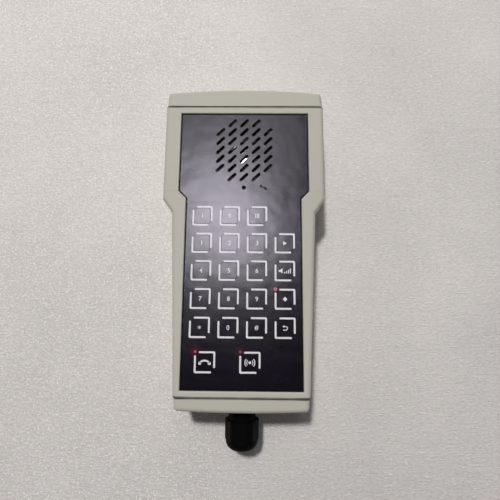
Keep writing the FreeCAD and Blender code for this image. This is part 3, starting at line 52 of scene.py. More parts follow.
def shade(colour: Colour, factor: float) -> Colour:
    """Return a colour made lighter or darker by a factor."""
    return tuple(min(1.0, part * factor) for part in colour)


class Value:
    """A number that changes over a surface. Arithmetic on it adds Math nodes."""

    def __init__(self, graph: "Graph", socket: bpy.types.NodeSocket) -> None:
        """Keep the socket and the graph that it belongs to."""
        self.graph = graph
        self.socket = socket

    def _math(self, operation: str, *numbers: "Value | float") -> "Value":
        """Add one Math node.

        Args:
            operation: The node's operation.
            numbers: Its inputs, values or plain numbers.

        Returns:
            The node's result.
        """
        settings = {"operation": operation}
        made = self.graph.node("ShaderNodeMath", settings, dict(enumerate(numbers)))
        return Value(self.graph, made.outputs[0])

    def __add__(self, other: "Value | float") -> "Value":
        """Return self + other."""
        return self._math("ADD", self, other)

    def __radd__(self, other: "Value | float") -> "Value":
        """Return other + self."""
        return self._math("ADD", other, self)

    def __sub__(self, other: "Value | float") -> "Value":
        """Return self - other."""
        return self._math("SUBTRACT", self, other)

    def __rsub__(self, other: "Value | float") -> "Value":
        """Return other - self."""
        return self._math("SUBTRACT", other, self)

    def __mul__(self, other: "Value | float") -> "Value":
        """Return self * other."""
        return self._math("MULTIPLY", self, other)

    def __abs__(self) -> "Value":
        """Return the value without its sign."""
        return self._math("ABSOLUTE", self)

    def root(self) -> "Value":
        """Return the square root."""
        return self._math("SQRT", self)

    def fraction(self) -> "Value":
        """Return what follows the decimal point."""
        return self._math("FRACT", self)

    def highest(self, other: "Value | float") -> "Value":
        """Return the larger of two values."""
        return self._math("MAXIMUM", self, other)

    def fade(self, low: float, high: float) -> "Value":
        """Change smoothly from 0 to 1 between two values.

        Args:
            low: Where it is 0.
            high: Where it is 1, which may be less than low.

        Returns:
            The share between them.
        """
        settings = {"interpolation_type": "SMOOTHSTEP"}
        inputs = {"Value": self, "From Min": low, "From Max": high}
        made = self.graph.node("ShaderNodeMapRange", settings, inputs)
        return Value(self.graph, made.outputs["Result"])


class Graph:
    """The node tree of one material, on the piece's own place in metres, or of the world."""

    def __init__(self, name: str, world: bpy.types.World | None = None) -> None:
        """Start a material, or a world, with no nodes but its coordinates.

        Args:
            name: The new material's name.
            world: The world that is dressed instead of a material.
        """
        self.material = world or bpy.data.materials.new(name)
        self.material.use_nodes = True
        self.tree = self.material.node_tree
        self.tree.nodes.clear()
        kind = "Generated" if world else "Object"
        self.place = self.node("ShaderNodeTexCoord").outputs[kind]
        split = self.node("ShaderNodeSeparateXYZ", inputs={0: self.place})
        self.x, self.y, self.z = (Value(self, socket) for socket in split.outputs)

    def node(self, kind: str, settings: dict | None = None, inputs: dict | None = None) -> Any:
        """Add a node.

        Args:
            kind: Its Blender type.
            settings: Its properties; "stops" are a colour ramp's places and colours.
            inputs: Values, sockets or constants by the input's name or number.

        Returns:
            The node.
        """
        made = self.tree.nodes.new(kind)
        for key, setting in (settings or {}).items():
            if key != "stops":
                setattr(made, key, setting)
                continue
            ramp = made.color_ramp.elements
            while len(ramp) < len(setting):
                ramp.new(1.0)
            for stop, (position, colour) in zip(ramp, setting):
                stop.position = position
                stop.color = (*colour, 1.0)
        for key, given in (inputs or {}).items():
            source = given.socket if isinstance(given, Value) else given
            if isinstance(source, bpy.types.NodeSocket):
                self.tree.links.new(source, made.inputs[key])
            else:
                made.inputs[key].default_value = source
        return made

    def noise(self, scale: float, detail: float = 3.0, stretch: Colour | None = None) -> Value:
        """Return soft noise from 0 to 1.

        Args:
            scale: Lumps to the metre.
            detail: How many finer layers it has.
            stretch: Factors on the scale along X, Y and Z.

        Returns:
            The noise.
        """
        place = self.place
        if stretch is not None:
            inputs = {"Vector": place, "Scale": stretch}
            place = self.node("ShaderNodeMapping", inputs=inputs).outputs[0]
        inputs = {"Vector": place, "Scale": scale, "Detail": detail}
        return Value(self, self.node("ShaderNodeTexNoise", inputs=inputs).outputs[0])

    def specks(self, scale: float, size: float) -> Value:
        """Return 1 on small round specks, scale to the metre, of a size in cells, else 0."""
        made = self.node("ShaderNodeTexVoronoi", inputs={"Vector": self.place, "Scale": scale})
        return Value(self, made.outputs["Distance"]).fade(size, size * 0.5)

    def distance(self, spot: Vector) -> Value:
        """Measure across X and Y, whatever the height.

        Args:
            spot: The place that it is measured from.

        Returns:
            The distance in metres.
        """
        across = self.x - spot.x
        along = self.y - spot.y
        return (across * across + along * along).root()

    def tones(self, value: Value, *stops: tuple[float, Colour]) -> bpy.types.NodeSocket:
        """Return a colour that follows a value through stops."""
        made = self.node("ShaderNodeValToRGB", {"stops": stops}, {"Fac": value})
        return made.outputs["Color"]

    def blend(self, mask: Value, first: Tone, second: Tone) -> bpy.types.NodeSocket:
        """Lay one colour over another.

        Args:
            mask: How much of the second one covers the first, from 0 to 1.
            first: The colour below.
            second: The colour on top.

        Returns:
            The blended colour.
        """
        first, second = (
            (*colour, 1.0) if isinstance(colour, tuple) else colour for colour in (first, second)
        )
        # The node keeps its colours in sockets 6 and 7, and gives one in its output 2.
        inputs = {0: mask, 6: first, 7: second}
        return self.node("ShaderNodeMix", {"data_type": "RGBA"}, inputs).outputs[2]

    def bump(self, height: Value, depth: float) -> bpy.types.NodeSocket:
        """Return normals for a height of 0 to 1 that stands for a depth in metres."""
        inputs = {"Height": height, "Distance": depth}
        return self.node("ShaderNodeBump", inputs=inputs).outputs[0]

    def surface(self, inputs: dict[str, Any]) -> bpy.types.Material:
        """Close the graph with a Principled shader.

        Args:
            inputs: The shader's inputs by name.

        Returns:
            The finished material.
        """
        shader = self.node("ShaderNodeBsdfPrincipled", inputs=inputs)
        self.node("ShaderNodeOutputMaterial", inputs={"Surface": shader.outputs[0]})
        return self.material


class Finish(Protocol):
    """Anything that a CAD node or a new piece can be dressed in."""

    def material(self) -> bpy.types.Material:
        """Return its material."""


@dataclass(frozen=True)
class Moulding:
    """Matt injection moulding with a fine grain, faint blotches and a little grime."""

    name: str
    colour: Colour
    roughness: float = 0.55
    grain: float = 1400.0
    grain_depth: float = 0.00006
    grime: Colour = (0.16, 0.13, 0.09)
    grime_share: float = 0.105
    gloss: float = 0.5

    def material(self) -> bpy.types.Material:
        """Build the nodes.

        Returns:
            The material.
        """
        graph = Graph(self.name)
        blotch = graph.noise(14.0, 4.0)
        scuffs = graph.noise(160.0, 4.0, (1.0, 0.25, 1.0)).fade(0.62, 0.74)
        grain = graph.noise(self.grain, 2.0)
        clean = graph.tones(
            blotch, (0.3, shade(self.colour, 0.965)), (0.7, shade(self.colour, 1.03))
        )
        worn = graph.blend(scuffs * 0.25, clean, shade(self.colour, 1.12))
        dirt = graph.noise(45.0, 5.0).fade(0.58, 0.8) * self.grime_share
        return graph.surface(
            {
                "Base Color": graph.blend(dirt, worn, self.grime),
                "Roughness": self.roughness + grain * 0.12 - scuffs * 0.12,
                "Specular IOR Level": self.gloss,
                "Normal": graph.bump(grain, self.grain_depth),
            }
        )


@dataclass(frozen=True)
class HousingFinish:
    """The housing's pebble grey, with painted light that makes the grip paler, grime along its two
    end seams, a painted shade line in them and painted shade wedges at the bottom seam's ends.
    """

    name: str
    colour: Colour
    seams: tuple[float, float]
    # The grime colour, which also paints the seams' shade line and the shade wedges.
    grime: Colour = (0.13, 0.1, 0.07)
    grime_width: tuple[float, float] = (0.0016, 0.0002)
    shadow_width: tuple[float, float] = (0.0011, 0.0004)
    # Painted shade: dark wedges where the bottom seam meets the rounded sides.
    wedge_width: tuple[float, float] = (0.0013, 0.0007)
    wedge_places: tuple[float, float] = (0.028, 0.042)
    # Painted light: where the grip's paler paint begins and where it is full, along Y.
    grip_painted_light_places: tuple[float, float] = (0.06, -0.07)
    foot_height: float = 0.006

    def along_seams(self, graph: Graph, width: tuple[float, float]) -> Value:
        """Return 1 at both end seams, and 0 from a width of metres beside them."""
        top, bottom = (abs(graph.y - seam).fade(*width) for seam in self.seams)
        return top.highest(bottom)

    def material(self) -> bpy.types.Material:
        """Build the nodes.

        Returns:
            The material.
        """
        graph = Graph(self.name)
        grain = graph.noise(1700.0, 2.0)
        dimple = graph.noise(420.0, 3.0)
        cloud = graph.noise(11.0, 5.0)
        clean = graph.tones(
            cloud,
            (0.25, shade(self.colour, 0.96)),
            (0.55, self.colour),
            (0.8, (self.colour[0] * 1.02, self.colour[1] * 1.02, self.colour[2] * 0.97)),
        )
        # Painted light: paler towards the grip, which the lamps light less than the head.
        grip_painted_light = graph.y.fade(*self.grip_painted_light_places)
        clean = graph.blend(grip_painted_light, clean, shade(self.colour, 1.09))
        beside = self.along_seams(graph, self.grime_width)
        at_ends = abs(graph.x).fade(*self.wedge_places)
        # Painted shade: dark wedges at the bottom seam's ends, on the rounded sides.
        painted_shade_wedge = abs(graph.y - min(self.seams)).fade(*self.wedge_width) * at_ends
        patchy = graph.noise(90.0, 4.0).fade(0.3, 0.7).highest(at_ends * 0.5)
        spots = graph.noise(240.0, 5.0).fade(0.7, 0.8) * 0.3
        scuffs = graph.noise(70.0, 6.0, (3.0, 0.4, 1.0)).fade(0.66, 0.76)
        # Darker in patches on the lowest few millimetres, next to the floor.
        low = graph.z.fade(self.foot_height, 0.0)
        # The dirt mask holds grime along the seams, random spots, the patches next to the floor
        # and the painted shade wedges.
        dirt = (beside * patchy * 0.55).highest(spots).highest(low * patchy * 0.4)
        dirt = dirt.highest(painted_shade_wedge * 0.75)
        grime_and_painted_light = graph.blend(dirt, clean, self.grime)
        shaded = self.along_seams(graph, self.shadow_width)
        grime_and_painted_light = graph.blend(shaded * 0.6, grime_and_painted_light, shade(self.grime, 0.3))
        return graph.surface(
            {
                "Base Color": graph.blend(scuffs * 0.18, grime_and_painted_light, shade(self.colour, 1.15)),
                "Roughness": 0.5 + grain * 0.14 - scuffs * 0.1,
                "Normal": graph.bump(grain * 0.6 + dimple * 0.4, 0.00005),
            }
        )


@dataclass(frozen=True)
class FoilFinish:
    """Black satin overlay: fine tooth, soft waves, dust, a scratch, chips, and the lamps' red glow
    painted on as the foil's own emission.
    """

    name: str
    colour: Colour = (0.0032, 0.0018, 0.0058)
    roughness: float = 0.23
    gloss: float = 0.5
    sheen: Colour = (0.94, 0.89, 1.0)
    glow_spots: tuple[tuple[Vector, float], ...] = ()
    glow_reach: tuple[float, float] = (0.0075, 0.0006)
    scratch: Vector | None = None
    scratch_way: tuple[float, float] = (0.87, 0.5)
    scratch_length: tuple[float, float] = (0.0032, 0.002)
    scratch_width: tuple[float, float] = (0.0009, 0.0004)
    scratch_wander: float = 0.0012
    chipped: tuple[float, float, float] | None = None
    chip_width: tuple[float, float] = (0.0009, 0.0001)
    chip_fade: float = 0.002

    def scratched(self, graph: Graph, spot: Vector) -> Value:
        """Mark a short broken scratch.

        Args:
            graph: The foil's graph.
            spot: The scratch's middle.

        Returns:
            1 on the scratch, else 0.
        """
        across, down = self.scratch_way
        along = (graph.x - spot.x) * across - (graph.y - spot.y) * down
        beside = (graph.x - spot.x) * down + (graph.y - spot.y) * across
        wander = graph.noise(900.0, 4.0) * self.scratch_wander - self.scratch_wander / 2
        line = abs(beside + wander).fade(*self.scratch_width)
        line = line * abs(along).fade(*self.scratch_length)
        return line * graph.noise(700.0, 3.0).fade(0.36, 0.48)

    def worn_through(self, graph: Graph, edge: float, low: float, high: float) -> Value:
        """Mark the chips along a stretch of the foil's left edge.

        Args:
            graph: The foil's graph.
            edge: The edge's place across.
            low: The stretch's lower end.
            high: Its upper end.

        Returns:
            1 on the chips, else 0.
        """
        side = (graph.x - edge).fade(*self.chip_width)
        lower = graph.y.fade(low - self.chip_fade, low)
        upper = graph.y.fade(high + self.chip_fade, high)
        return side * (lower * upper) * graph.noise(900.0, 3.0).fade(0.5, 0.6)

    def material(self) -> bpy.types.Material:
        """Build the nodes.

        Returns:
            The material.
        """
        graph = Graph(self.name)
        tooth = graph.noise(2600.0, 2.0)
        cloud = graph.noise(30.0, 4.0)
        waves = graph.noise(85.0, 1.0)
        wiped = graph.noise(60.0, 5.0, (0.3, 2.0, 1.0)).fade(0.45, 0.75)
        dust = graph.specks(420.0, 0.09) * graph.noise(120.0, 2.0).fade(0.5, 0.62)
        base = graph.blend(dust * 0.5, self.colour, (0.25, 0.24, 0.25))
        matt = dust * 0.2
        if self.scratch is not None:
            line = self.scratched(graph, self.scratch)
            matt = matt + line * 0.7
            base = graph.blend(line, base, (0.001, 0.001, 0.001))
        if self.chipped is not None:
            chips = self.worn_through(graph, *self.chipped)
            base = graph.blend(chips * 0.7, base, (0.3, 0.28, 0.27))
        # Painted light: the red glow of the lamp windows is emitted by the foil round them.
        glow = graph.x * 0.0  # Nothing yet, as a value that every lamp's glow is added to.
        for spot, strength in self.glow_spots:
            near = graph.distance(spot).fade(*self.glow_reach)
            glow = glow + near * near * near * strength
        uneven = self.roughness + tooth * 0.05 + (cloud - 0.5) * 0.06 + wiped * 0.03
        return graph.surface(
            {
                "Base Color": base,
                "Roughness": uneven + matt,
                "Specular IOR Level": self.gloss,
                "Specular Tint": (*self.sheen, 1.0),
                "Normal": graph.bump(tooth * 0.055 + waves, 0.0002),
                "Emission Color": graph.tones(glow, (0.0, BLACK), (1.0, (0.9, 0.02, 0.05))),
                "Emission Strength": 1.0,
            }
        )


@dataclass(frozen=True)
class InkFinish:
    """White screen print, a little thin in places."""

    name: str
    colour: Colour = (0.85, 0.835, 0.86)

    def material(self) -> bpy.types.Material:
        """Build the nodes.

        Returns:
            The material.
        """
        graph = Graph(self.name)
        thin = graph.noise(600.0, 4.0).fade(0.35, 0.75)
        return graph.surface(
            {
                "Base Color": graph.blend(thin * 0.25, self.colour, shade(self.colour, 0.62)),
                "Roughness": 0.42 + thin * 0.1,
                "Normal": graph.bump(thin, 0.00001),
            }
        )


@dataclass(frozen=True)
class RubberFinish:
    """Black rubber with a dusty bloom."""

    name: str
    colour: Colour = (0.022, 0.021, 0.02)

    def material(self) -> bpy.types.Material:
        """Build the nodes.

        Returns:
            The material.
        """
        graph = Graph(self.name)
        bloom = graph.noise(220.0, 5.0).fade(0.4, 0.8)
        pores = graph.noise(1500.0, 2.0)
        return graph.surface(
            {
                "Base Color": graph.blend(bloom * 0.3, self.colour, (0.1, 0.09, 0.08)),
                "Roughness": 0.72 + bloom * 0.15,
                "Normal": graph.bump(pores, 0.00004),
            }
        )


@dataclass(frozen=True)
class MetalFinish:
    """Metal with fine lines along one direction and light tarnish."""

    name: str
    colour: Colour
    roughness: float = 0.32
    lines: Colour = (1.0, 0.05, 1.0)
    tarnish: Colour = (0.2, 0.18, 0.15)

    def material(self) -> bpy.types.Material:
        """Build the nodes.

        Returns:
            The material.
        """
        graph = Graph(self.name)
        lines = graph.noise(2200.0, 3.0, self.lines)
        dull = graph.noise(90.0, 5.0).fade(0.55, 0.8)
        return graph.surface(
            {
                "Base Color": graph.blend(dull * 0.45, self.colour, self.tarnish),
                "Metallic": 1.0 - dull * 0.3,
                "Roughness": self.roughness + lines * 0.16 + dull * 0.2,
                "Normal": graph.bump(lines, 0.00002),
            }
        )


@dataclass(frozen=True)
class BoardFinish:
    """Green laminate with copper tracks under its lacquer and tinned pads."""

    name: str
    lacquer: Colour = (0.012, 0.11, 0.05)
    track: Colour = (0.05, 0.22, 0.07)
    pad: Colour = (0.62, 0.6, 0.55)
    pitch: float = 0.0051

    def material(self) -> bpy.types.Material:
        """Build the nodes.

        Returns:
            The material.
        """
        graph = Graph(self.name)
        wander = graph.noise(60.0, 0.0).fade(0.4, 0.6) * 2.0
        row = (graph.y * (1 / self.pitch) + wander).fraction()
        column = (graph.x * (1 / self.pitch) + wander).fraction()
        tracks = abs(row - 0.5).fade(0.12, 0.08).highest(abs(column - 0.5).fade(0.12, 0.08))
        pads = graph.specks(1 / self.pitch, 0.2)
        green = graph.blend(tracks, self.lacquer, self.track)
        return graph.surface(
            {
                "Base Color": graph.blend(pads, green, self.pad),
                "Metallic": pads * 0.8,
                "Roughness": 0.35 + pads * 0.1,
                "Normal": graph.bump(tracks, 0.00003),
            }
        )


@dataclass(frozen=True)
class ConeFinish:
    """Black film cone with rings, and a rippled metal dust cap that glints."""

    name: str
    centre: Vector
    cap_radius: float = 0.012
    cap: Colour = (0.6, 0.6, 0.62)
    ring_pitch: float = 0.0016

    def material(self) -> bpy.types.Material:
        """Build the nodes.

        Returns:
            The material.
        """
        graph = Graph(self.name)
        reach = graph.distance(self.centre)
        rings = abs((reach * (1 / self.ring_pitch)).fraction() - 0.5)
        outer = reach.fade(self.cap_radius, self.cap_radius * 1.1)
        smudge = graph.noise(300.0, 4.0)
        ripple = graph.noise(240.0, 1.0) * (1.0 - outer) * 1.6
        film = graph.tones(smudge, (0.3, (0.004,) * 3), (0.8, (0.01, 0.01, 0.011)))
        return graph.surface(
            {
                "Base Color": graph.blend(outer, self.cap, film),
                "Metallic": 1.0 - outer,
                "Roughness": 0.12 + outer * 0.8 + smudge * 0.08,
                "Normal": graph.bump(rings * outer + ripple, 0.00012),
            }
        )


@dataclass(frozen=True)
class LampFinish:
    """Red lamp windows: each spot has its own brightness, seen as a ring or a hot middle."""

    name: str
    spots: tuple[tuple[Vector, Colour, Colour], ...]
    body: Colour = (0.12, 0.03, 0.035)
    radius: tuple[float, float] = (0.0021, 0.0019)

    def material(self) -> bpy.types.Material:
        """Build the nodes.

        Returns:
            The material.
        """
        graph = Graph(self.name)
        frost = graph.noise(1800.0, 2.0)
        glow: Tone = BLACK
        for spot, middle, rim in self.spots:
            reach = graph.distance(spot)
            inside = reach.fade(*self.radius)
            in_millimetres = reach * (1 / MM)
            tone = graph.tones(in_millimetres, (0.25, middle), (0.75, rim))
            glow = graph.blend(inside, glow, tone)
        return graph.surface(
            {
                "Base Color": graph.blend(frost * 0.2, self.body, (0.4, 0.2, 0.2)),
                "Roughness": 0.18 + frost * 0.1,
                "Normal": graph.bump(frost, 0.00001),
                "Emission Color": glow,
                "Emission Strength": 1.0,
            }
        )


@dataclass(frozen=True)
class FloorFinish:
    """Pale rolled board: mottled, with small dimples, raised fibres, and a left side that is
    shinier and carries painted light in pale specks.
    """

    name: str
    colour: Colour
    # Painted light: where the left side's paler, shinier specks fade in, across X.
    left_painted_light_places: tuple[float, float] = (0.07, -0.05)

    def material(self) -> bpy.types.Material:
        """Build the nodes.

        Returns:
            The material.
        """
        graph = Graph(self.name)
        dimples = graph.noise(520.0, 5.0, (0.8, 1.2, 1.0))
        fibres = graph.noise(620.0, 2.0, (0.42, 1.35, 1.0)).fade(0.55, 0.68)
        cloud = graph.noise(9.0, 3.0)
        mottle = dimples * 0.6 + cloud * 0.4
        board = graph.tones(
            mottle, (0.36, shade(self.colour, 0.85)), (0.64, shade(self.colour, 1.07))
        )
        rolled = graph.noise(560.0, 3.0, (0.05, 1.4, 1.0)).fade(0.55, 0.7)
        board = graph.blend(rolled * 0.35, board, shade(self.colour, 0.76))
        # Painted light: paler specks towards the left side, which is also made less rough.
        left_polish_and_painted_light = graph.x.fade(*self.left_painted_light_places)
        left_polish_and_painted_light = left_polish_and_painted_light * graph.noise(780.0, 2.0).fade(0.55, 0.64)
        pale = (fibres * 0.6).highest(left_polish_and_painted_light)
        return graph.surface(
            {
                "Base Color": graph.blend(pale, board, shade(self.colour, 1.26)),
                "Roughness": 0.75 + dimples * 0.1 - left_polish_and_painted_light * 0.2,
                "Normal": graph.bump(dimples * 0.7 + fibres * 0.3, 0.0006),
            }
        )


def new_piece(name: str, form: bmesh.types.BMesh) -> bpy.types.Object:
    """Make an object at the origin out of a bmesh.

    Args:
        name: The piece's name.
        form: The shape, which is freed.

    Returns:
        The linked object.
    """
    mesh = bpy.data.meshes.new(name)
    form.to_mesh(mesh)
    form.free()
    piece = bpy.data.objects.new(name, mesh)
    bpy.context.scene.collection.objects.link(piece)
    return piece


def middle_of(node: str) -> Vector:
    """Find the middle of a CAD node's top.

    Args:
        node: The node's name.

    Returns:
        The middle of its box, at the height of its top.
    """
    low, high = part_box(node)
    middle = (low + high) / 2
    middle.z = high.z
    return middle


def raise_sheet(form: bmesh.types.BMesh, flat: bmesh.types.BMesh, rise: float) -> None:
    """Thicken a flat sheet upwards and join it to a bmesh.

    Args:
        form: The bmesh that grows.
        flat: The sheet, which is freed.
        rise: The thickness in metres.
    """
    raised = bmesh.ops.extrude_face_region(flat, geom=flat.faces[:])
    lifted = [item for item in raised["geom"] if isinstance(item, bmesh.types.BMVert)]
    bmesh.ops.translate(flat, verts=lifted, vec=(0.0, 0.0, rise))
    bmesh.ops.recalc_face_normals(flat, faces=flat.faces[:])
    mesh = bpy.data.meshes.new("sheet")
    flat.to_mesh(mesh)
    flat.free()
    form.from_mesh(mesh)
    bpy.data.meshes.remove(mesh)


@dataclass(frozen=True)
class Ink:
    """A pen for flat printed shapes about a spot, in millimetres, of one thickness."""

    form: bmesh.types.BMesh
    spot: Vector
    rise: float
    scale: float = 1.0

    @property
    def unit(self) -> float:
        """Return the metres in one of its millimetres."""
        return MM * self.scale

    def plate(
        self, corners: list[tuple[float, float]], rounded: dict[int, float] | None = None
    ) -> None:
        """Print a filled outline.

        Args:
            corners: The outline.
            rounded: Radius of each rounded corner by its number.
        """
        flat = bmesh.new()
        verts = [
            flat.verts.new(self.spot + Vector((x * self.unit, y * self.unit, 0.0)))
            for x, y in corners
        ]
        flat.faces.new(verts)
        for number, radius in (rounded or {}).items():
            bmesh.ops.bevel(
                flat, geom=[verts[number]], offset=radius * self.unit, segments=4, profile=0.5,
                affect="VERTICES", material=-1,
            )
        raise_sheet(self.form, flat, self.rise)

    def bar(self, left: float, low: float, right: float, high: float) -> None:
        """Print a bar with slightly rounded corners."""
        corners = [(left, low), (right, low), (right, high), (left, high)]
        self.plate(corners, dict.fromkeys(range(4), min(right - left, high - low) * 0.3))

    def disc(self, x: float, y: float, radius: float) -> None:
        """Print a round dot.

        Args:
            x: Its middle's place across.
            y: Its middle's place along.
            radius: Its radius.
        """
        bmesh.ops.create_cone(
            self.form, cap_ends=True, segments=32, radius1=radius * self.unit,
            radius2=radius * self.unit, depth=self.rise,
            matrix=Matrix.Translation(
                self.spot + Vector((x * self.unit, y * self.unit, self.rise / 2))
            ),
        )

    def arc(
        self, x: float, y: float, radius: float, width: float, start: float, sweep: float
    ) -> None:
        """Print a curved bar.

        Args:
            x: Its centre's place across.
            y: Its centre's place along.
            radius: Radius of its middle line.
            width: Its width.
            start: Angle that it starts at, in degrees.
            sweep: Angle that it goes on for, in degrees.
        """
        flat = bmesh.new()
        centre = self.spot + Vector((x * self.unit, y * self.unit, 0.0))
        turn = Matrix.Rotation(math.radians(start), 3, "Z")
        ends = [
            flat.verts.new(centre + turn @ Vector((reach * self.unit, 0.0, 0.0)))
            for reach in (radius - width / 2, radius + width / 2)
        ]
        bmesh.ops.spin(
            flat, geom=[*ends, flat.edges.new(ends)], cent=centre, axis=(0.0, 0.0, 1.0),
            angle=math.radians(sweep), steps=16, use_merge=False,
        )
        raise_sheet(self.form, flat, self.rise)


class Sign(Enum):
    """The signs on the keys that carry no number."""

    PAGE = "triangle that points right"
    FUNCTION = "diamond"
    RECALL = "arrow that turns back"
    VOLUME = "rising bars beside a wedge"
    ANSWER = "handset"
    TALK = "sound waves from a dot"

    def print_with(self, ink: Ink) -> None:
        """Print this sign.

        Args:
            ink: The pen on the key's middle.
        """
        softened = 0.15
        if self is Sign.PAGE:
            corners = [(-1.0, -1.3), (1.4, 0.0), (-1.0, 1.3)]
            ink.plate(corners, dict.fromkeys(range(3), softened))
        elif self is Sign.FUNCTION:
            corners = [(0.0, -1.4), (1.4, 0.0), (0.0, 1.4), (-1.4, 0.0)]
            ink.plate(corners, dict.fromkeys(range(4), softened))
        elif self is Sign.RECALL:
            ink.arc(0.3, -0.1, 1.0, 0.5, -90.0, 180.0)
            ink.bar(-1.2, -1.35, 0.4, -0.85)
            ink.bar(-0.6, 0.65, 0.4, 1.15)
            ink.plate([(-1.6, 0.9), (-0.5, 0.1), (-0.5, 1.7)])
        elif self is Sign.VOLUME:
            lower = [(-3.6, -0.6), (-2.7, -0.6), (-1.4, -1.5)]
            ink.plate([*lower, *((x, -y) for x, y in reversed(lower))])
            for number in range(4):
                left = -0.5 + number * 1.15
                ink.bar(left, -1.5, left + 0.65, -0.6 + number * 0.7)
        elif self is Sign.ANSWER:
            ink.arc(0.0, -3.1, 4.0, 1.0, 45.0, 90.0)
            for side in (-1, 1):
                near, far = sorted((1.9 * side, 3.6 * side))
                ink.bar(near, -1.4, far, 0.2)
        else:
            ink.disc(0.0, 0.0, 0.75)
            for start in (-45.0, 135.0):
                for radius in (1.75, 2.85):
                    ink.arc(0.0, 0.0, radius, 0.5, start, 90.0)


def lettering(name: str, words: str, height: float, weight: float) -> bmesh.types.BMesh:
    """Make flat lettering about the origin, a millimetre thick.

    Args:
        name: Name for the curve that it is made from.
        words: What it says.
        height: Its height in metres.
        weight: How far its strokes are fattened, as a share of the letters' size.

    Returns:
        The letters.
    """
    curve = bpy.data.curves.new(name, "FONT")
    curve.body = words
    curve.offset = weight
    half_thickness = 0.5
    curve.extrude = half_thickness
    curve.resolution_u = 5
    holder = bpy.data.objects.new(name, curve)
    bpy.context.scene.collection.objects.link(holder)
    mesh = bpy.data.meshes.new_from_object(holder)
    bpy.data.objects.remove(holder)
    bpy.data.curves.remove(curve)
    form = bmesh.new()
    form.from_mesh(mesh)
    bpy.data.meshes.remove(mesh)
    bmesh.ops.remove_doubles(form, verts=form.verts[:], dist=1e-5)
    reach = [[vert.co[axis] for vert in form.verts] for axis in (0, 1)]
    middle = [(min(places) + max(places)) / 2 for places in reach]
    scale = height / (max(reach[1]) - min(reach[1]))
    bmesh.ops.translate(form, verts=form.verts[:], vec=(-middle[0], -middle[1], half_thickness))
    bmesh.ops.scale(form, verts=form.verts[:], vec=(scale, scale, MM))
    return form


class SubAssembly:
    """A group of CAD nodes that are dressed together, with the pieces added to them."""

    def build(self) -> None:
        """Make the pieces of this group and dress its CAD nodes."""
        raise NotImplementedError

    def dress(self, finish: Finish, *nodes: str) -> None:
        """Give CAD nodes one finish.

        Args:
            finish: The finish.
            nodes: Their names.
        """
        material = finish.material()
        for node in nodes:
            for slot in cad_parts[node].material_slots:
                slot.material = material

    def finish_piece(
        self, piece: bpy.types.Object, material: bpy.types.Material, body: str, slot: str
    ) -> None:
        """Give a new piece what it needs beside its shape.

        Args:
            piece: The piece.
            material: Its material.
            body: The body that it moves with.
            slot: Its slot in the record; not used.
        """
        piece.data.materials.append(material)
        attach(piece, body)
        logging.info("%s rides on %s", piece.name, body)


@dataclass
class Housing(SubAssembly):
    """The moulded housing with its end caps, seals and fixings."""

    colour: Colour = (0.52, 0.495, 0.428)
    top_seam: float = 0.09895
    bottom_seam: float = -0.10325

    def build(self) -> None:
        """Dress the mouldings, the seals and the fixings."""
        grey = HousingFinish("housing_grey", self.colour, (self.top_seam, self.bottom_seam))
        self.dress(grey, "front_shell", "rear_shell", "top_end_cap", "bottom_end_cap")
        seal = RubberFinish("seal_rubber")
        self.dress(seal, "casing_seal", "top_cap_seal", "bottom_cap_seal", "plate_seal")
        zinc = MetalFinish("zinc_plated_steel", (0.55, 0.56, 0.58))
        self.dress(zinc, "casing_screws", "top_cap_screws", "bottom_cap_screws", "board_screws")
        self.dress(zinc, "speaker_clamps", "clamp_nuts")
        brass = MetalFinish("turned_brass", (0.72, 0.5, 0.2), lines=(1.0, 1.0, 0.05))
        self.dress(brass, "screw_inserts", "board_spacers")


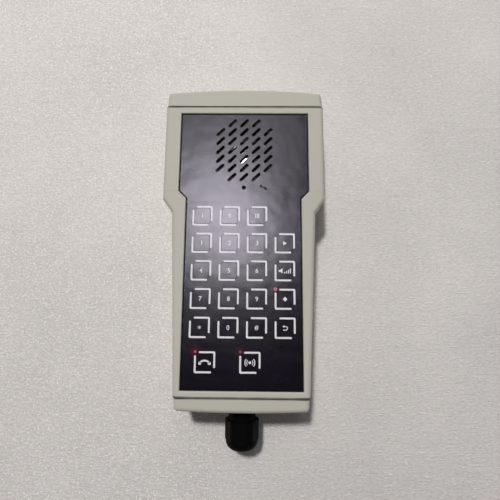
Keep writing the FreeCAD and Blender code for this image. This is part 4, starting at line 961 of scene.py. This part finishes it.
@dataclass
class Keypad(SubAssembly):
    """The printed frames round the keys and the number or sign on each key.

    A frame's sizes are in the pen's millimetres, and its gaps are shares of its side.
    """

    numbers: ClassVar[dict[str, str]] = {
        "key_memory_1": "I", "key_memory_2": "II", "key_memory_3": "III",
        "key_1": "1", "key_2": "2", "key_3": "3", "key_4": "4", "key_5": "5", "key_6": "6",
        "key_7": "7", "key_8": "8", "key_9": "9", "key_star": "*", "key_0": "0", "key_hash": "#",
    }
    signs: ClassVar[dict[str, Sign]] = {
        "key_page": Sign.PAGE, "key_volume": Sign.VOLUME, "key_function": Sign.FUNCTION,
        "key_recall": Sign.RECALL, "key_answer": Sign.ANSWER, "key_talk": Sign.TALK,
    }
    frame_side: float = 12.7
    stroke: float = 1.25
    bend: float = 1.1
    tip: float = 0.45
    lower_gap: float = 0.19
    top_gap: float = 0.225
    right_gap: float = 0.24
    print_rise: float = 0.00003
    number_height: float = 0.0031
    star_share: float = 0.75
    weight: float = 0.012
    sign_scale: float = 1.15

    def print_frame(self, ink: Ink) -> None:
        """Print the two open corners round one key.

        Args:
            ink: The pen on the key's middle.
        """
        out = (self.frame_side + self.stroke) / 2
        inside = out - self.stroke
        lower_end = out - out * 2 * self.lower_gap
        top_end = out * 2 * self.top_gap - out
        right_end = out * 2 * self.right_gap - out
        rounding = {0: self.bend, 3: self.bend / 3, **dict.fromkeys((1, 2, 4, 5), self.tip)}
        ink.plate(
            [
                (-out, -out), (lower_end, -out), (lower_end, -inside),
                (-inside, -inside), (-inside, lower_end), (-out, lower_end),
            ],
            rounding,
        )
        ink.plate(
            [
                (out, out), (top_end, out), (top_end, inside),
                (inside, inside), (inside, right_end), (out, right_end),
            ],
            rounding,
        )

    def build(self) -> None:
        """Make the frames and the keys' print, and dress the keys."""
        keys = [*self.numbers, *self.signs]
        self.dress(FoilFinish("key_foil", roughness=0.21), *keys)
        white = InkFinish("white_print").material()
        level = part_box("front_foil")[1].z
        form = bmesh.new()
        for key in keys:
            spot = middle_of(key)
            spot.z = level
            self.print_frame(Ink(form, spot, self.print_rise))
        self.finish_piece(new_piece("key_frames", form), white, "casing", "foil")
        for key, words in self.numbers.items():
            height = self.number_height * (self.star_share if words == "*" else 1.0)
            form = lettering(key, words, height, self.weight)
            bmesh.ops.scale(form, verts=form.verts[:], vec=(1.0, 1.0, self.print_rise / MM))
            bmesh.ops.translate(form, verts=form.verts[:], vec=middle_of(key))
            self.finish_piece(new_piece("print_" + key, form), white, key, "key_foil")
        for key, sign in self.signs.items():
            form = bmesh.new()
            sign.print_with(Ink(form, middle_of(key), self.print_rise, self.sign_scale))
            self.finish_piece(new_piece("print_" + key, form), white, key, "key_foil")


@dataclass
class FrontPanel(SubAssembly):
    """The stiff plate, its printed foil and the lamp windows."""

    # Each lamp: the strength of the glow painted on the foil round it, then its window's middle
    # and rim colours.
    lamps: ClassVar[dict[str, tuple[float, Colour, Colour]]] = {
        "key_function": (0.006, (0.03, 0.01, 0.015), (0.38, 0.17, 0.2)),
        "key_answer": (0.06, (0.36, 0.1, 0.11), (0.06, 0.004, 0.008)),
        "key_talk": (0.035, (0.1, 0.035, 0.06), (0.02, 0.005, 0.012)),
    }
    window_offset: Vector = Vector((-0.0064, 0.0067, 0.0))
    scratch: Vector = Vector((0.0138, 0.0385, 0.0))
    chipped: tuple[float, float, float] = (-0.0396, -0.034, -0.0145)

    def build(self) -> None:
        """Dress the plate, the foil, the windows and their lamps."""
        lit = [(middle_of(key) + self.window_offset, *lamp) for key, lamp in self.lamps.items()]
        foil = FoilFinish(
            "satin_foil",
            glow_spots=tuple((spot, strength) for spot, strength, _, _ in lit),
            scratch=self.scratch,
            chipped=self.chipped,
        )
        self.dress(foil, "front_foil")
        coat = Moulding(
            "black_coat", (0.004, 0.004, 0.0045), roughness=0.7, grime=(0.02, 0.018, 0.016),
            gloss=0.08,
        )
        self.dress(coat, "front_plate")
        windows = LampFinish(
            "lamp_windows", tuple((spot, middle, rim) for spot, _, middle, rim in lit)
        )
        self.dress(windows, "light_pipes", "status_lamps")


@dataclass
class Electronics(SubAssembly):
    """The board with what stands on it."""

    def build(self) -> None:
        """Dress the board and its components."""
        self.dress(BoardFinish("green_laminate"), "main_board")
        black = Moulding("black_moulding", (0.02, 0.02, 0.021), grime=(0.1, 0.09, 0.08))
        self.dress(black, "switch_bodies", "processor", "audio_chips", "cable_terminal")
        self.dress(black, "microphone")
        can = MetalFinish("plated_can", (0.5, 0.5, 0.5), roughness=0.25, lines=(1.0, 1.0, 0.05))
        self.dress(can, "capacitors", "speaker_basket", "speaker_magnet")
        self.dress(RubberFinish("soft_rubber"), "microphone_boot", "speaker_gasket")
        red = Moulding("wire_insulation", (0.3, 0.02, 0.02), roughness=0.4, grain=600.0)
        self.dress(red, "speaker_leads")


@dataclass
class Speaker(SubAssembly):
    """The cone behind the slots."""

    def build(self) -> None:
        """Dress the cone."""
        self.dress(ConeFinish("cone_film", middle_of("speaker_cone")), "speaker_cone")


@dataclass
class CableGland(SubAssembly):
    """The cable gland with the thread on its bare neck."""

    ridge: float = 0.00018
    pitch: float = 0.0015
    neck_radius: float = 0.0093
    neck_length: float = 0.0083
    half_foot: float = 0.3
    steps_a_turn: int = 36

    def thread(self) -> bmesh.types.BMesh:
        """Wind one ridge round the neck.

        Returns:
            The thread.
        """
        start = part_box("bottom_end_cap")[0].y - self.pitch / 2
        low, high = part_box("gland_body")
        axis = (low.z + high.z) / 2
        form = bmesh.new()
        sunk = self.neck_radius - self.ridge
        foot = self.half_foot * self.pitch
        section = [(sunk, foot), (self.neck_radius + self.ridge, 0.0), (sunk, -foot)]
        verts = [form.verts.new((reach, start + side, axis)) for reach, side in section]
        face = form.faces.new(verts)
        turns = int((self.neck_length - self.pitch) / self.pitch)
        steps = turns * self.steps_a_turn
        bmesh.ops.spin(
            form, geom=[face, *face.edges, *face.verts], cent=(0.0, 0.0, axis),
            axis=(0.0, -1.0, 0.0), dvec=(0.0, -self.pitch / self.steps_a_turn, 0.0),
            angle=math.tau * turns, steps=steps, use_merge=False,
        )
        bmesh.ops.recalc_face_normals(form, faces=form.faces[:])
        return form

    def build(self) -> None:
        """Make the thread and dress the gland."""
        nylon = Moulding(
            "black_nylon", (0.0025, 0.0025, 0.0026), roughness=0.45, grain=900.0,
            grain_depth=0.00002, grime=(0.01, 0.009, 0.008), gloss=0.05,
        )
        self.dress(nylon, "gland_body", "gland_nut", "gland_locknut")
        self.dress(RubberFinish("gland_rubber"), "gland_seal", "gland_washer")
        piece = new_piece("gland_thread", self.thread())
        self.finish_piece(piece, nylon.material(), "casing", "gland_plastic")


class Role(Enum):
    """What a lamp is there for."""

    SHEEN = "seen in glossy surfaces"
    LIGHT = "lights matt surfaces and casts the shadow"
    BOTH = "both"


@dataclass(frozen=True)
class Lamp:
    """A soft rectangular lamp that faces a point."""

    name: str
    place: Vector
    aim: Vector
    size: tuple[float, float]
    radiance: float
    role: Role

    def build(self) -> None:
        """Hang the lamp."""
        light = bpy.data.lights.new(self.name, "AREA")
        light.shape = "RECTANGLE"
        light.size, light.size_y = self.size
        light.energy = self.radiance * math.pi * self.size[0] * self.size[1]
        holder = bpy.data.objects.new(self.name, light)
        bpy.context.scene.collection.objects.link(holder)
        holder.visible_glossy = self.role is not Role.LIGHT
        holder.visible_diffuse = self.role is not Role.SHEEN
        holder.location = self.place
        holder.rotation_euler = (self.aim - self.place).to_track_quat("-Z", "Y").to_euler()


@dataclass
class Studio:
    """The pale floor, the soft lamps and the camera of the photograph."""

    floor_colour: Colour = (0.79, 0.748, 0.712)
    floor_level: float = -0.0003
    floor_reach: float = 3.0
    walls: Colour = (0.36, 0.355, 0.35)
    low_sky: Colour = (0.22, 0.22, 0.225)
    high_sky: Colour = (0.036, 0.033, 0.042)
    sky_heights: tuple[float, float] = (0.4, 0.75)
    dim_side: tuple[float, float] = (-0.75, 0.25)
    wall_tops: tuple[float, float] = (0.4, 0.1)
    lit_spot: Vector = Vector((0.0, 0.0, 0.03))
    camera_place: Vector = Vector((0.00737, -0.04053, 0.27924))
    camera_right: Vector = Vector((0.99991, 0.00875, -0.00982))
    camera_up: Vector = Vector((-0.00726, 0.98969, 0.14302))
    camera_back: Vector = Vector((0.01097, -0.14294, 0.98967))
    lens: float = 25.2
    sensor: float = 36.0
    nearest: float = 0.01

    def floor(self) -> None:
        """Lay the floor under the housing's back."""
        form = bmesh.new()
        bmesh.ops.create_grid(
            form, x_segments=1, y_segments=1, size=self.floor_reach,
            matrix=Matrix.Translation((0.0, 0.0, self.floor_level)),
        )
        piece = new_piece("floor", form)
        piece.data.materials.append(FloorFinish("pale_board", self.floor_colour).material())

    def lamps(self) -> None:
        """Hang the window that the foil mirrors, a lamp that casts the shadow, and a wide fill."""
        for name, place, size, radiance, role in (
            ("window", (-0.16, 0.38, 1.6), (0.42, 0.52), 17.6, Role.SHEEN),
            ("ceiling_lamp", (-0.27, 0.69, 1.6), (0.14, 0.14), 327.0, Role.LIGHT),
            ("far_fill", (-0.1, 0.92, 1.6), (0.8, 0.6), 2.5, Role.BOTH),
        ):
            Lamp(name, Vector(place), self.lit_spot, size, radiance, role).build()

    def air(self) -> None:
        """Fill the world with pale walls, and a sky that is dim overhead and behind the camera."""
        world = bpy.data.worlds.new("studio_air")
        graph = Graph("studio_air", world)
        tone = graph.tones(graph.z, *zip(self.sky_heights, (self.low_sky, self.high_sky)))
        tone = graph.blend(graph.y.fade(*self.dim_side), shade(self.high_sky, 0.5), tone)
        tone = graph.blend(graph.z.fade(*self.wall_tops), tone, self.walls)
        light = graph.node("ShaderNodeBackground", inputs={"Color": tone})
        graph.node("ShaderNodeOutputWorld", inputs={"Surface": light.outputs[0]})
        bpy.context.scene.world = world

    def camera(self) -> None:
        """Place the camera."""
        lens = bpy.data.cameras.new("camera")
        lens.lens = self.lens
        lens.sensor_width = self.sensor
        lens.clip_start = self.nearest
        holder = bpy.data.objects.new("camera", lens)
        bpy.context.scene.collection.objects.link(holder)
        axes = (self.camera_right, self.camera_up, self.camera_back)
        turned = Matrix(axes).transposed().to_4x4()
        holder.matrix_world = Matrix.Translation(self.camera_place) @ turned
        bpy.context.scene.camera = holder

    def build(self) -> None:
        """Set up the studio."""
        self.floor()
        self.lamps()
        self.air()
        self.camera()
        bpy.context.scene.view_settings.view_transform = "Standard"


def main() -> None:
    """Build every group in order."""
    logging.basicConfig(level=logging.INFO, format="%(message)s")
    groups = (Housing(), FrontPanel(), Keypad(), Electronics(), Speaker(), CableGland(), Studio())
    for group in groups:
        group.build()
        logging.info("%s is ready", type(group).__name__)


if __name__ == "__main__":
    main()
